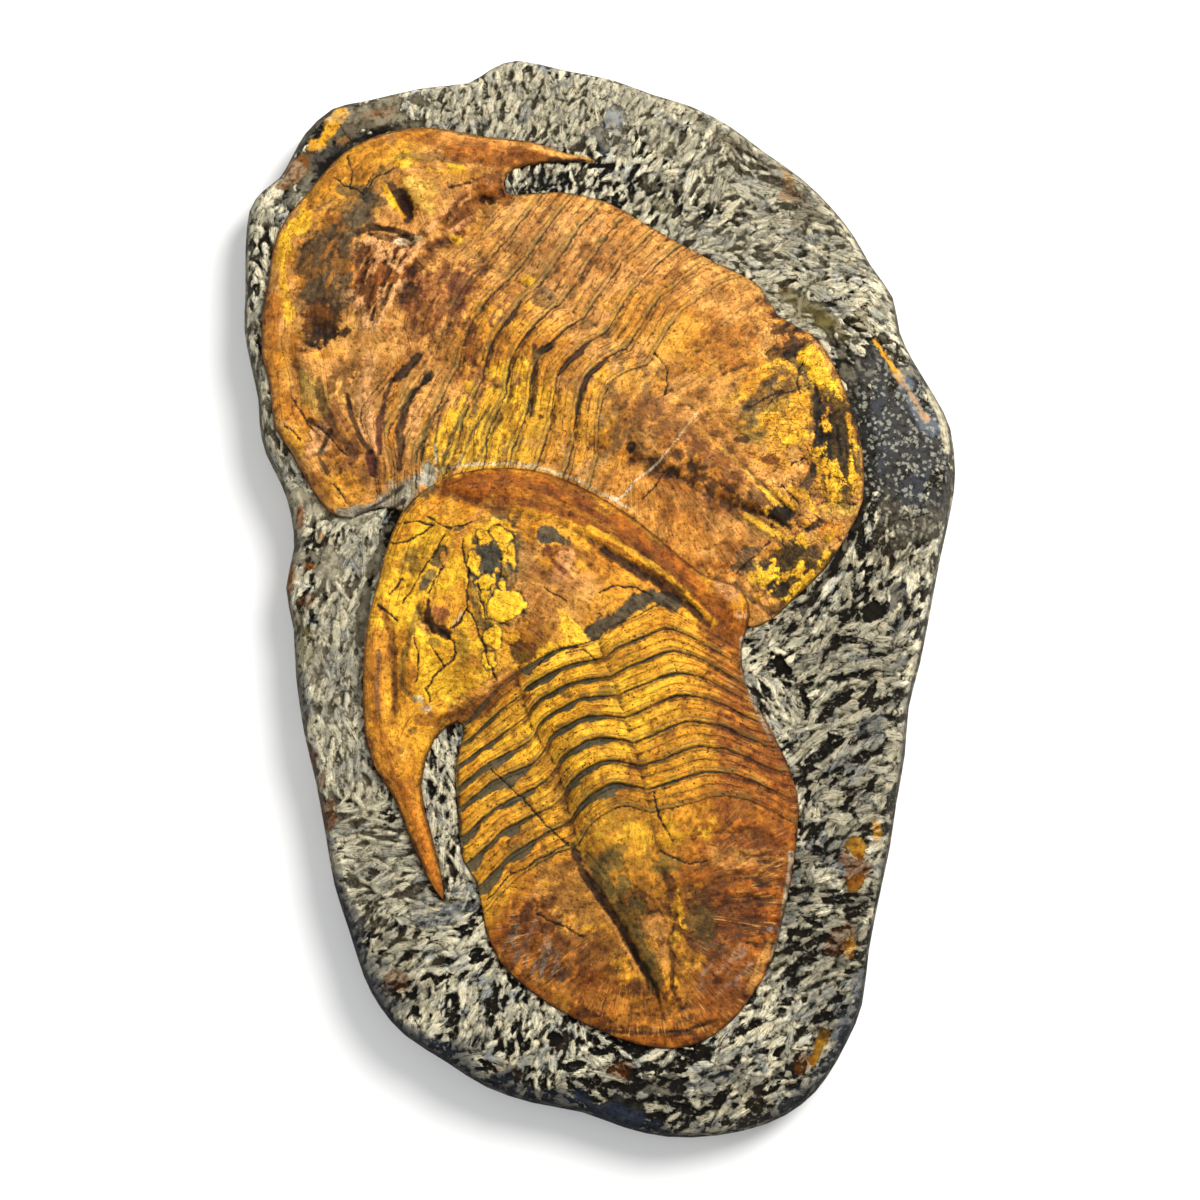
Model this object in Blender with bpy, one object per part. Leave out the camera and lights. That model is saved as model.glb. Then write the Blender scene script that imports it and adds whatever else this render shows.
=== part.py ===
"""A plate of rock that carries two large trilobites, the lower one lying partly over the upper one.

The plate lies on its flat back with its face up: +Z points out of the rock and +Y up the plate.
Places on the face are millimetres on a flat measuring grid, and the meshes are made in metres.
The grid lies at the level of the rock's face, so a place on something higher or lower is moved
along the line of sight to its own height.
"""

import math
from dataclasses import dataclass

import bmesh
import bpy
import numpy as np
from mathutils import Vector, geometry, noise

MM = 0.001
GAP = 0.3

# Thickness and slope of the rock
ROCK_TOP = 27.0
EDGE_FALL = 5.5
EDGE_REACH = 14.0
POCKET_FLOOR = 10.0
CUTTER_TOP = 60.0
SIDE_RINGS = ((0.0, 10.0), (5.0, 3.5), (13.0, 0.0), (18.0, 1.4))
RIM_INSET = 3.6
SIDE_ROUGHNESS = 1.1
SIDE_STRETCH = 0.09
WIDEST_HEIGHT = 13.0

# Where the plate was looked at from when its places were measured
VIEW_PLACE = (0.0, -167.0)
VIEW_HEIGHT = 1215.0

# Lumps that the chisel left on the face
LATTICE_STEP = 7.6
LATTICE_CLEAR = 0.45
LATTICE_SHAKE = 0.28
LUMP_HEIGHT = 1.9
LUMP_STRETCH = 0.11
LUMP_SEED = 7

# Relief of the animals
BASE_STEP = 0.9
BODY_REACH = 15.0
AXIS_FURROW = 1.1
AXIS_FURROW_WIDTH = 0.16
AXIS_START = (3.0, 16.0)
AXIS_HEAD_SHARE = 0.45
AXIS_END = 9.0
CREST_HEIGHT = 35.0
RING_STEP = 1.7
PLEURA_SHARE = 0.72
STEP_MARGIN = 6.0
RIB_DEPTH = 0.35
RIB_SPACING = 0.9
SEGMENT_LENGTH = 8.6
SEGMENTS = 8
RIM_RISE = 1.1
RIM_WIDTH = 4.5
RIM_FURROW = 0.9
RIM_FURROW_PLACE = 10.0
RIM_FURROW_WIDTH = 3.0
TAIL_RIM_SHARE = 0.6

# Rows and columns of the coarse surface, in segments and in lobe widths
SEGMENT_ROWS = (0.06, 0.5, 0.92)
HEAD_ROWS = 13
TAIL_ROWS = 12
LOBE_COLUMNS = (0.35, 0.75, 1.0, 1.12, 1.26, 1.42, 1.58, 1.74, 1.88, 2.0)
REACH_BEYOND = 12.0

PLATE_EDGE = (
    (-28, 185.5), (-37, 182.5), (-45, 177.5), (-60, 175.8), (-80, 171.2), (-91, 168.5),
    (-100, 160), (-104.6, 151.5), (-108.5, 144.5), (-114, 140), (-118.6, 133), (-119.8, 120),
    (-119.6, 105), (-119.8, 92), (-117.5, 80), (-114.8, 68), (-114.2, 59), (-112, 49.5),
    (-106.5, 38.5), (-103.4, 29), (-102.2, 17.5), (-104.7, 4), (-102, -10), (-101, -26),
    (-98, -45), (-94, -61), (-90.5, -79), (-87.5, -95), (-82.5, -110), (-77.5, -125),
    (-72, -135), (-64, -144), (-50, -153), (-37, -161), (-22, -166), (-6, -169), (8, -174),
    (22, -177), (38, -176.6), (54, -173), (66, -166.5), (74, -158), (81, -146), (86, -134),
    (88.5, -116), (92, -99), (95.8, -82), (98, -68), (101, -52), (102.5, -36), (106.5, -21),
    (110.2, -3), (113.5, 13.5), (117.5, 31), (119, 43), (117.6, 58), (112.5, 69), (105.5, 81),
    (101, 91), (98.8, 103), (91.5, 114), (86, 124), (78.5, 134), (68, 144.5), (55, 154),
    (44, 162.5), (31, 169.4), (18, 173.5), (4, 178.7), (-12, 182),
)

UPPER_EDGE = (
    (-2, 150.6), (-12, 153), (-24, 157), (-40, 158.8), (-56, 162), (-70, 161), (-82, 156.5),
    (-91, 149.5), (-99, 139.5), (-106, 131), (-110.5, 121), (-112, 109), (-114, 98), (-114, 84),
    (-111.2, 74), (-109.6, 60), (-104, 51), (-98.5, 41), (-91, 30.5), (-83, 28), (-74, 31.5),
    (-60, 28), (-30, 10), (0, 0), (30, -6), (48, -9.5), (57, -6.5), (65, 1), (75, 10.5),
    (83, 23), (88, 34), (88, 50), (84.5, 65), (79, 79), (72, 89.5), (60, 96.5), (53, 107.5),
    (41, 113.8), (27, 121.5), (14, 129), (2, 136), (-14, 139.4), (-27, 138.4), (-32, 139.5),
    (-32, 145.2), (-26, 148.8), (-14, 150),
)

LOWER_EDGE = (
    (-51.8, -99.8), (-57.5, -91), (-62.5, -80), (-67.5, -67), (-74, -57), (-77.8, -45),
    (-78.8, -28), (-78, -11), (-75, 2), (-71.5, 16), (-66.5, 29), (-58, 37.6), (-47, 42.8),
    (-33, 44.4), (-20, 43), (-8, 38.6), (4, 32), (16, 23.5), (27, 14), (36, 7.5), (45, 4.8),
    (49.5, -1.5), (49, -9), (47, -17), (48.6, -29), (54.5, -39.5), (60.5, -51.5), (65.3, -65),
    (65, -79), (62.8, -94), (59.5, -108), (56.3, -120), (50, -131), (42.5, -140), (32, -146.8),
    (20, -148.3), (6, -145), (-9, -138.2), (-22, -130.2), (-32.5, -120.5), (-37.6, -109),
    (-40.4, -94), (-45.4, -86), (-47, -70), (-47.8, -56), (-45, -44.5), (-47.5, -40.8),
    (-55, -46.5), (-59.4, -62), (-55.6, -79), (-52.4, -92),
)


@dataclass
class Animal:
    """What is measured on one fossil, all on the face's grid."""

    name: str
    edge: tuple
    front: tuple
    rear: tuple
    furrows: tuple
    segment_lines: tuple
    body_rise: float
    axis_rise: float
    bumps: tuple
    ridges: tuple


UPPER = Animal(
    name="upper_trilobite",
    edge=UPPER_EDGE,
    front=(-105, 135.2),
    rear=(82, 17),
    furrows=(
        ((-95, 143), (-70, 132), (-45, 118), (-21, 104.6), (-5, 95.6), (15.5, 80.2),
         (37, 58.6), (52, 41.2), (61, 33)),
        ((-106, 116), (-89, 101), (-64, 88), (-38, 75.5), (0, 49.2), (18, 44.6), (41, 33.4),
         (58, 28)),
    ),
    # Edges of segments 0, 4 and 8 from the covered margin to the open one
    segment_lines=(
        ((-75, 35), (-77.5, 50), (-83, 65), (-73, 76), (-61, 91), (-55, 104), (-49, 119),
         (-32, 139)),
        ((-40, 44), (-39, 58), (-32, 73), (-29, 83), (-20, 94), (-11.5, 105), (-1, 122),
         (10, 136)),
        ((-4, 38), (-0.7, 54), (1.7, 68), (6, 74.5), (15.5, 80), (20.6, 89.4), (27, 99.4),
         (41, 110), (52, 114)),
    ),
    body_rise=6.5,
    axis_rise=3.0,
    # x, y, length, width, turn of the length in degrees, height
    bumps=(
        (-66, 136.5, 6.0, 2.8, -62, -3.4),
        (-60.5, 139, 7.5, 3.2, -62, 1.4),
        (-73, 137, 6.0, 3.4, -62, 1.5),
        (-94, 92, 8.5, 6.0, -10, -4.0),
        (-99, 84, 8.0, 4.0, -40, 1.2),
        (-38, 138.8, 3.0, 2.0, 0, -2.5),
        (-98, 47, 5.0, 5.0, 0, 1.0),
        (61.5, 29, 7.0, 3.8, -30, -3.0),
    ),
    # points, width, height
    ridges=(
        (((-57, 122), (-65, 115), (-68, 108), (-71, 98)), 1.8, 1.5),
        (((-74.5, 114), (-76, 105), (-73, 93)), 1.8, 1.1),
        (((-81, 125), (-74.5, 127.5), (-66, 124)), 1.8, -1.4),
        (((-42, 143), (-50, 138), (-57, 127)), 2.2, 1.2),
        (((-34, 140), (-43, 131), (-52, 123)), 3.0, -1.8),
    ),
)

LOWER = Animal(
    name="lower_trilobite",
    edge=LOWER_EDGE,
    front=(-34, 44),
    rear=(27, -148.5),
    furrows=(
        ((-58, 27), (-46.4, -1.4), (-28.3, -22), (-23, -41), (-14, -55.5), (-9, -74),
         (-3.3, -93), (6.5, -109.6), (18, -127)),
        ((-34, 38), (-17.6, 12.4), (-1, -13.5), (5, -30), (10.6, -48.5), (15, -64), (18, -80),
         (24, -105), (23.5, -128)),
    ),
    segment_lines=(
        ((-46, -41), (-37, -31), (-29, -24), (-14.6, -17.5), (-1.3, -13), (1.5, -8),
         (12, -4), (19.6, 1), (28, -4), (49, -17)),
        ((-48, -69), (-37, -59.7), (-21, -53), (-17.6, -45.6), (-5, -39.5), (7, -39), (25, -30.5),
         (36, -31), (54, -40)),
        ((-39, -104), (-27, -91), (-14.5, -84), (-8, -82), (-2.3, -74.7), (8.3, -69),
         (16, -70.5), (26, -67.5), (37, -64), (50, -66), (66, -74)),
    ),
    body_rise=5.6,
    axis_rise=3.2,
    bumps=(
        (-53.5, -4.5, 5.5, 4.0, 65, 2.0),
        (-58.5, -7, 6.0, 1.8, 115, -2.0),
        (-13.5, 14.5, 6.5, 4.0, 40, 1.8),
        (-31, -1.5, 7.0, 5.5, 20, 1.3),
        (45, 0, 5.5, 4.0, 60, 1.5),
        (-28, -17, 4.5, 4.0, 0, -1.6),
    ),
    ridges=(
        (((-3, 24), (13, 13.5), (27, 3)), 2.2, 1.1),
        (((-53, 38), (-39, 33), (-26, 30), (-13, 26), (0, 19), (27, 1), (36, -7)), 2.2, -1.6),
        (((-75, -8), (-74, -30), (-66, -55), (-57, -82)), 3.0, 1.2),
    ),
)

# The lower animal's head lies on the upper one, so it is lifted there
LIFT = 6.2
LIFT_FROM = -55.0
LIFT_TO = 12.0
LIFT_LEFT_SHARE = 0.45
LIFT_LEFT_FROM = -45.0
LIFT_LEFT_TO = -80.0


def smooth_loop(corners, steps):
    """Closed counter-clockwise Catmull-Rom curve through the corners, with a few steps to each."""
    corners = np.array(corners, float)
    after = np.roll(corners, -1, axis=0)
    if np.sum(corners[:, 0] * after[:, 1] - corners[:, 1] * after[:, 0]) < 0:
        corners = corners[::-1]
        after = np.roll(corners, -1, axis=0)
    before = np.roll(corners, 1, axis=0)
    beyond = np.roll(corners, -2, axis=0)
    parts = []
    for step in range(steps):
        f = step / steps
        parts.append(0.5 * (
            2 * corners
            + (after - before) * f
            + (2 * before - 5 * corners + 4 * after - beyond) * f ** 2
            + (3 * corners - before - 3 * after + beyond) * f ** 3
        ))
    return np.stack(parts, axis=1).reshape(-1, 2)


def outward(loop):
    """Mitred outward direction at each point of a counter-clockwise loop."""
    ahead = np.roll(loop, -1, axis=0) - loop
    ahead /= np.linalg.norm(ahead, axis=1)[:, None]
    normal = np.stack((ahead[:, 1], -ahead[:, 0]), axis=1)
    mean = normal + np.roll(normal, 1, axis=0)
    mean /= np.linalg.norm(mean, axis=1)[:, None]
    spread = np.clip(np.sum(mean * normal, axis=1), 0.35, 1.0)
    return mean / spread[:, None]


def grown(loop, amount):
    """The loop moved outward, or inward for a negative amount."""
    return loop + outward(loop) * amount


def distance(points, line, closed=False):
    """Distance from each point to a line of straight stretches."""
    line = np.array(line, float)
    ends = np.roll(line, -1, axis=0) if closed else line[1:]
    starts = line if closed else line[:-1]
    nearest = np.full(len(points), np.inf)
    for start, end in zip(starts, ends):
        run = end - start
        share = np.clip((points - start) @ run / (run @ run), 0.0, 1.0)
        nearest = np.minimum(nearest, np.linalg.norm(points - start - share[:, None] * run, axis=1))
    return nearest


def inside(points, loop):
    """True where a point is inside the loop."""
    result = np.zeros(len(points), bool)
    for (x0, y0), (x1, y1) in zip(loop, np.roll(loop, -1, axis=0)):
        if y0 == y1:
            continue
        crosses = (points[:, 1] < y0) != (points[:, 1] < y1)
        result ^= crosses & (points[:, 0] < x0 + (points[:, 1] - y0) * (x1 - x0) / (y1 - y0))
    return result


def smoothstep(low, high, value):
    share = np.clip((value - low) / (high - low), 0.0, 1.0)
    return share * share * (3 - 2 * share)


def sight_share(height):
    """How far up the line of sight, from the face's level to the eye, a height is."""
    return np.reshape((height - ROCK_TOP) / (VIEW_HEIGHT - ROCK_TOP), (-1, 1))


def at_height(points, height):
    """True places of what was measured on the grid but is at another height."""
    return points + (np.array(VIEW_PLACE) - points) * sight_share(height)


def as_measured(points, height):
    """The reverse of at_height: where on the grid true places at a height were measured."""
    share = sight_share(height)
    return (points - np.array(VIEW_PLACE) * share) / (1 - share)


PLATE = at_height(smooth_loop(PLATE_EDGE, 2), WIDEST_HEIGHT)
MIDDLE = (PLATE.min(axis=0) + PLATE.max(axis=0)) / 2


def rock_height(points):
    """Height of the rock's face without its lumps: level, and falling towards the edge."""
    depth = np.where(inside(points, PLATE), distance(points, PLATE, closed=True), 0.0)
    return ROCK_TOP - EDGE_FALL * np.exp(-depth / EDGE_REACH)


def lump_height(points):
    """Coarse chisel marks, as noise at each point."""
    return np.array([
        LUMP_HEIGHT * noise.noise(Vector((x * LUMP_STRETCH, y * LUMP_STRETCH, LUMP_SEED)))
        for x, y in points
    ])


def body_frame(animal):
    """Front point, direction to the rear and direction across, for one animal."""
    front = np.array(animal.front, float)
    along = np.array(animal.rear, float) - front
    along /= np.linalg.norm(along)
    return front, along, np.array((-along[1], along[0]))


def to_body(animal, points):
    """Distance behind the front and distance across the midline."""
    front, along, across = body_frame(animal)
    offset = np.array(points, float) - front
    return offset @ along, offset @ across


def from_body(animal, s, t):
    front, along, across = body_frame(animal)
    return front + np.multiply.outer(s, along) + np.multiply.outer(t, across)


def line_places(animal, t):
    """How far back the edges of segments 0, 4 and 8 lie at each distance across."""
    places = []
    for line in animal.segment_lines:
        line_s, line_t = to_body(animal, line)
        order = np.argsort(line_t)
        places.append(np.interp(t, line_t[order], line_s[order]))
    return places


def segment_number(animal, s, t):
    """0 at the rear of the head to 8 at the front of the tail shield, and on beyond both."""
    first, fourth, last = line_places(animal, t)
    half = SEGMENTS / 2
    front_part = half * (s - first) / (fourth - first)
    rear_part = half + half * (s - fourth) / (last - fourth)
    number = np.where(s < fourth, front_part, rear_part)
    number = np.where(s < first, (s - first) / SEGMENT_LENGTH, number)
    return np.where(s > last, SEGMENTS + (s - last) / SEGMENT_LENGTH, number)


def lobe_middle(animal, s):
    """Middle and half width of the raised axial lobe."""
    sides = []
    for furrow in animal.furrows:
        furrow_s, furrow_t = to_body(animal, furrow)
        sides.append(np.interp(s, furrow_s, furrow_t))
    return (sides[0] + sides[1]) / 2, np.abs(sides[0] - sides[1]) / 2


def lobe_strength(animal, s, number):
    """1 along the axial lobe, less on the head, and 0 before its front and behind its tip."""
    tip = max(to_body(animal, furrow)[0].max() for furrow in animal.furrows)
    head = AXIS_HEAD_SHARE + (1 - AXIS_HEAD_SHARE) * smoothstep(-1.0, 0.0, number)
    return head * smoothstep(*AXIS_START, s) * (1 - smoothstep(tip, tip + AXIS_END, s))


def segment_step(number):
    """Each segment rises to its rear edge and drops there to the next one."""
    share = number - np.floor(number)
    step = smoothstep(0.08, 0.5, share) * (1 - smoothstep(0.93, 1.0, share))
    return np.where((number > 0) & (number < SEGMENTS), step, smoothstep(0.4, 1.0, number) * 0.5)


def features(animal, points):
    """Eyes, pits and ridges that have a place of their own."""
    height = np.zeros(len(points))
    for x, y, length, width, turn, rise in animal.bumps:
        angle = math.radians(turn)
        offset = points - np.array((x, y))
        lengthwise = offset @ np.array((math.cos(angle), math.sin(angle))) / length
        crosswise = offset @ np.array((-math.sin(angle), math.cos(angle))) / width
        height += rise * np.exp(-lengthwise ** 2 - crosswise ** 2)
    for line, width, rise in animal.ridges:
        height += rise * np.exp(-(distance(points, line) / width) ** 2)
    return height


def lift(points):
    """How much higher the lower animal's head lies where it covers the upper animal."""
    x, y = points[:, 0], points[:, 1]
    left = LIFT_LEFT_SHARE * smoothstep(LIFT_LEFT_FROM, LIFT_LEFT_TO, x)
    return LIFT * smoothstep(LIFT_FROM, LIFT_TO, y) * (1 - left)


def crest_height(animal, points):
    """About how high the animal's back lies, for moving places along the line of sight."""
    return CREST_HEIGHT + (lift(points) if animal is LOWER else np.zeros(len(points)))


def animal_loop(animal):
    """The animal's outline, moved to the height that its edge lies at."""
    loop = smooth_loop(animal.edge, 2)
    return at_height(loop, ROCK_TOP + lift(loop)) if animal is LOWER else loop


def shell_height(animal, points):
    """Height of an animal's surface above the plate's back."""
    measured = as_measured(points, crest_height(animal, points))
    s, t = to_body(animal, measured)
    number = segment_number(animal, s, t)
    middle, half_width = lobe_middle(animal, s)
    lobe = (t - middle) / half_width
    loop = animal_loop(animal)
    depth = np.where(inside(points, loop), distance(points, loop, closed=True), 0.0)

    body = animal.body_rise * (1 - np.exp(-depth / BODY_REACH))
    crown = animal.axis_rise * np.clip(1 - lobe ** 2, 0.0, 1.0) ** 0.7
    furrow = AXIS_FURROW * np.exp(-((np.abs(lobe) - 1) / AXIS_FURROW_WIDTH) ** 2)
    axis = (crown - furrow) * lobe_strength(animal, s, number)
    steps = RING_STEP * segment_step(number) * np.where(np.abs(lobe) < 1, 1.0, PLEURA_SHARE)
    steps *= smoothstep(0.0, STEP_MARGIN, depth)

    tail = smoothstep(SEGMENTS, SEGMENTS + 1, number)
    head = smoothstep(0.0, -1.0, number)
    ribs = RIB_DEPTH * np.cos(2 * math.pi * number / RIB_SPACING) * tail
    rim = RIM_RISE * np.exp(-((depth - RIM_WIDTH) / RIM_WIDTH) ** 2)
    rim -= RIM_FURROW * np.exp(-((depth - RIM_FURROW_PLACE) / RIM_FURROW_WIDTH) ** 2)
    rim *= np.maximum(head, TAIL_RIM_SHARE * tail)

    height = rock_height(points) + BASE_STEP + body + axis + steps + ribs + rim
    if animal is LOWER:
        height += lift(points)
    return height + features(animal, measured)


def new_object(name, bm, collection, colour=None, roughness=0.8):
    """An object from a bmesh, with its own material when it has a colour."""
    bmesh.ops.recalc_face_normals(bm, faces=bm.faces)
    mesh = bpy.data.meshes.new(name)
    bm.to_mesh(mesh)
    bm.free()
    obj = bpy.data.objects.new(name, mesh)
    collection.objects.link(obj)
    if colour is None:
        obj.display_type = "WIRE"
        obj.hide_render = True
        return obj
    material = bpy.data.materials.new(name)
    material.use_nodes = True
    shader = material.node_tree.nodes["Principled BSDF"]
    shader.inputs["Base Color"].default_value = (*colour, 1.0)
    shader.inputs["Roughness"].default_value = roughness
    shader.inputs["Metallic"].default_value = 0.0
    mesh.materials.append(material)
    mesh.shade_smooth()
    mesh.set_sharp_from_angle(angle=math.radians(35))
    return obj


def place(points, heights):
    """Grid millimetres to metres about the middle of the plate."""
    flat = (points - MIDDLE) * MM
    return [Vector((x, y, z * MM)) for (x, y), z in zip(flat, np.broadcast_to(heights, len(points)))]


def prism(name, loop, low, high, collection):
    """An outline pulled up into a block, made from a filled curve."""
    curve = bpy.data.curves.new(name, "CURVE")
    curve.dimensions = "2D"
    curve.fill_mode = "BOTH"
    curve.extrude = (high - low) / 2 * MM
    spline = curve.splines.new("POLY")
    spline.points.add(len(loop) - 1)
    for point, place_at in zip(spline.points, place(loop, 0.0)):
        point.co = (*place_at, 1.0)
    spline.use_cyclic_u = True
    outline = bpy.data.objects.new(name, curve)
    outline.location.z = (high + low) / 2 * MM
    collection.objects.link(outline)
    bpy.context.view_layer.update()
    evaluated = outline.evaluated_get(bpy.context.evaluated_depsgraph_get())
    mesh = bpy.data.meshes.new_from_object(evaluated)
    bm = bmesh.new()
    bm.from_mesh(mesh)
    bmesh.ops.remove_doubles(bm, verts=bm.verts, dist=0.00001)
    bmesh.ops.transform(bm, matrix=outline.matrix_world, verts=bm.verts)
    bpy.data.objects.remove(outline)
    return new_object(f"{name}_block", bm, collection)


def add_boolean(obj, cutter, operation):
    """Cut an object by another, or keep what lies inside it."""
    modifier = obj.modifiers.new(cutter.name, "BOOLEAN")
    modifier.object = cutter
    modifier.operation = operation
    modifier.solver = "EXACT"


def side_ring(height, inset):
    """One level of the rock's broken side, rough except where it is widest."""
    loop = grown(PLATE, -inset)
    if height == 0.0 or inset == 0.0:
        return loop
    rough = np.array([
        noise.noise(Vector((x * SIDE_STRETCH, y * SIDE_STRETCH, height * SIDE_STRETCH)))
        for x, y in loop
    ])
    return loop - outward(loop) * (SIDE_ROUGHNESS * np.abs(rough))[:, None]


def face_lattice(rim):
    """Shaken lattice of points over the rock's face."""
    low = PLATE.min(axis=0)
    high = PLATE.max(axis=0)
    columns = np.arange(low[0], high[0], LATTICE_STEP)
    rows = np.arange(low[1], high[1], LATTICE_STEP * math.sqrt(3) / 2)
    points = np.array([
        (x + (row % 2) * LATTICE_STEP / 2, y) for row, y in enumerate(rows) for x in columns
    ])
    shake = np.random.default_rng(LUMP_SEED).uniform(-1, 1, points.shape)
    points += shake * LATTICE_STEP * LATTICE_SHAKE
    clear = distance(points, rim, closed=True) > LATTICE_STEP * LATTICE_CLEAR
    return points[inside(points, rim) & clear]


def make_slab(collection):
    """The rock: a flat back, rough sloping sides and a lumpy chiselled face."""
    bm = bmesh.new()
    rings = []
    for height, inset in SIDE_RINGS:
        loop = side_ring(height, inset)
        rings.append([bm.verts.new(co) for co in place(loop, height)])
    rim = grown(PLATE, -RIM_INSET)
    rim_height = rock_height(rim)
    rings.append([bm.verts.new(co) for co in place(rim, rim_height)])
    for lower, upper in zip(rings, rings[1:]):
        for i in range(len(lower)):
            j = (i + 1) % len(lower)
            bm.faces.new((lower[i], lower[j], upper[j], upper[i]))
    bm.faces.new(rings[0])

    inner = face_lattice(rim)
    every = np.concatenate((rim, inner))
    edges = [(i, (i + 1) % len(rim)) for i in range(len(rim))]
    faces = geometry.delaunay_2d_cdt([Vector(p) for p in every], edges, [], 1, 0.0001)[2]
    inner_height = rock_height(inner) + lump_height(inner)
    face_verts = rings[-1] + [bm.verts.new(co) for co in place(inner, inner_height)]
    for a, b, c in faces:
        bm.faces.new((face_verts[a], face_verts[b], face_verts[c]))
    return new_object("matrix_slab", bm, collection, colour=(0.30, 0.31, 0.30), roughness=0.9)


def row_numbers():
    """Segment numbers of the rows: closer together where the segments step."""
    head = list(np.linspace(-1.0, 0.0, HEAD_ROWS)[:-1])
    thorax = [k + f for k in range(SEGMENTS) for f in SEGMENT_ROWS]
    tail = list(SEGMENTS + np.linspace(0.02, 1.0, TAIL_ROWS))
    return head, thorax, tail


def row_places(animal, t):
    """Distance behind the front of every row, at one distance across."""
    first, fourth, last = (float(value[0]) for value in line_places(animal, np.array([t])))
    length = float(to_body(animal, [animal.rear])[0][0]) + REACH_BEYOND
    head, thorax, tail = row_numbers()
    places = [first + share * (first + REACH_BEYOND) for share in head]
    places += list(np.interp(thorax, (0, SEGMENTS / 2, SEGMENTS), (first, fourth, last)))
    places += [last + (share - SEGMENTS) * (length - last) for share in tail]
    return places


def column_places(animal, row_share, reach):
    """Distances across of the columns, which follow the axial furrows."""
    length = float(to_body(animal, [animal.rear])[0][0])
    middle, half_width = lobe_middle(animal, np.array([row_share * length]))
    middle, half_width = float(middle[0]), float(half_width[0])
    columns = [middle]
    for lobe in LOBE_COLUMNS:
        side = half_width * min(lobe, 1.0)
        wide = max(lobe - 1.0, 0.0)
        columns.insert(0, middle - side + wide * (reach[0] - middle + half_width))
        columns.append(middle + side + wide * (reach[1] - middle - half_width))
    return columns


def make_animal(animal, collection, cutters):
    """One fossil: a relief whose rows follow the segments, kept inside its outline."""
    loop = animal_loop(animal)
    across = to_body(animal, loop)[1]
    reach = (across.min() - REACH_BEYOND, across.max() + REACH_BEYOND)
    rows = len(row_places(animal, 0.0))
    columns = len(LOBE_COLUMNS) * 2 + 1
    grid = np.zeros((rows, columns, 2))
    for row in range(rows):
        for column, t in enumerate(column_places(animal, row / (rows - 1), reach)):
            grid[row, column] = from_body(animal, row_places(animal, t)[row], t)
    points = grid.reshape(-1, 2)
    points = at_height(points, crest_height(animal, points))

    bm = bmesh.new()
    top = [bm.verts.new(co) for co in place(points, shell_height(animal, points))]
    bottom = [bm.verts.new(co) for co in place(points, POCKET_FLOOR - GAP)]

    def at(row, column):
        return row * columns + column

    for row in range(rows - 1):
        for column in range(columns - 1):
            near = (at(row, column), at(row, column + 1))
            far = (at(row + 1, column + 1), at(row + 1, column))
            bm.faces.new([top[k] for k in near + far])
            bm.faces.new([bottom[k] for k in reversed(near + far)])
    border = [at(0, c) for c in range(columns)]
    border += [at(r, columns - 1) for r in range(1, rows)]
    border += [at(rows - 1, c) for c in range(columns - 2, -1, -1)]
    border += [at(r, 0) for r in range(rows - 2, 0, -1)]
    for a, b in zip(border, border[1:] + border[:1]):
        bm.faces.new((top[a], bottom[a], bottom[b], top[b]))
    bmesh.ops.triangulate(bm, faces=bm.faces)
    obj = new_object(animal.name, bm, collection, colour=(0.62, 0.33, 0.07), roughness=0.6)
    keep = prism(f"{animal.name}_outline", loop, POCKET_FLOOR + GAP, CUTTER_TOP, cutters)
    add_boolean(obj, keep, "INTERSECT")
    return obj


def new_collection(name):
    collection = bpy.data.collections.new(name)
    bpy.context.scene.collection.children.link(collection)
    return collection


def main():
    for obj in list(bpy.data.objects):
        bpy.data.objects.remove(obj)
    parts = new_collection("trilobite_plate")
    cutters = new_collection("cutters")

    slab = make_slab(parts)
    upper = make_animal(UPPER, parts, cutters)
    make_animal(LOWER, parts, cutters)
    for animal in (UPPER, LOWER):
        loop = grown(animal_loop(animal), GAP)
        pocket = prism(f"{animal.name}_pocket", loop, POCKET_FLOOR, CUTTER_TOP, cutters)
        add_boolean(slab, pocket, "DIFFERENCE")
        if animal is LOWER:
            add_boolean(upper, pocket, "DIFFERENCE")


main()
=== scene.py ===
"""The looks of the trilobite plate: chiselled rock and two mineral shells in fine relief.

Places are millimetres on the same measuring grid over the face as the solids were made on.
"""

import math
from dataclasses import dataclass

import bmesh
import bpy
import numpy as np
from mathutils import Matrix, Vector, geometry


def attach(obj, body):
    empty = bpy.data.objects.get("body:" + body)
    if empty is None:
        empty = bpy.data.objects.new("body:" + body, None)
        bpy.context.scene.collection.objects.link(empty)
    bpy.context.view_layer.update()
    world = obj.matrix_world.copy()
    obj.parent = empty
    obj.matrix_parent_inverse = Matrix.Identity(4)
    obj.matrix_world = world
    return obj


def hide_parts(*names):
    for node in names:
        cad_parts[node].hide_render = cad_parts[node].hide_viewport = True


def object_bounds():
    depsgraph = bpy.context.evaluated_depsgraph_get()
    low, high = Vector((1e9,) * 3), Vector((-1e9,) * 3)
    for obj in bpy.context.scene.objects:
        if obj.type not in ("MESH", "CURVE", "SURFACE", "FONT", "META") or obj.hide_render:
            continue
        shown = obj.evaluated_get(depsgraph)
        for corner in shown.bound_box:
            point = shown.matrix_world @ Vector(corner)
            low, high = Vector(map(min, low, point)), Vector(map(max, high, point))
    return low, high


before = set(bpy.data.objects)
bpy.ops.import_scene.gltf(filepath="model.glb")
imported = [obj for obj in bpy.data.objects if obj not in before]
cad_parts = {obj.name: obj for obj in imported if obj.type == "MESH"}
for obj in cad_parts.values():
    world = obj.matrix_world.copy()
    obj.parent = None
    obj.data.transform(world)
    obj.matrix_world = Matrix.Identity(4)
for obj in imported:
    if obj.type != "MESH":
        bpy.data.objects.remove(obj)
cad_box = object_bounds()

MM = 0.001
GAP = 0.15
TOP_CLEAR = 0.05

# Where the photograph looked from, on the same grid; the grid lies at the level of the rock's face
VIEW_PLACE = (0.0, -167.0)
VIEW_HEIGHT = 1215.0

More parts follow.
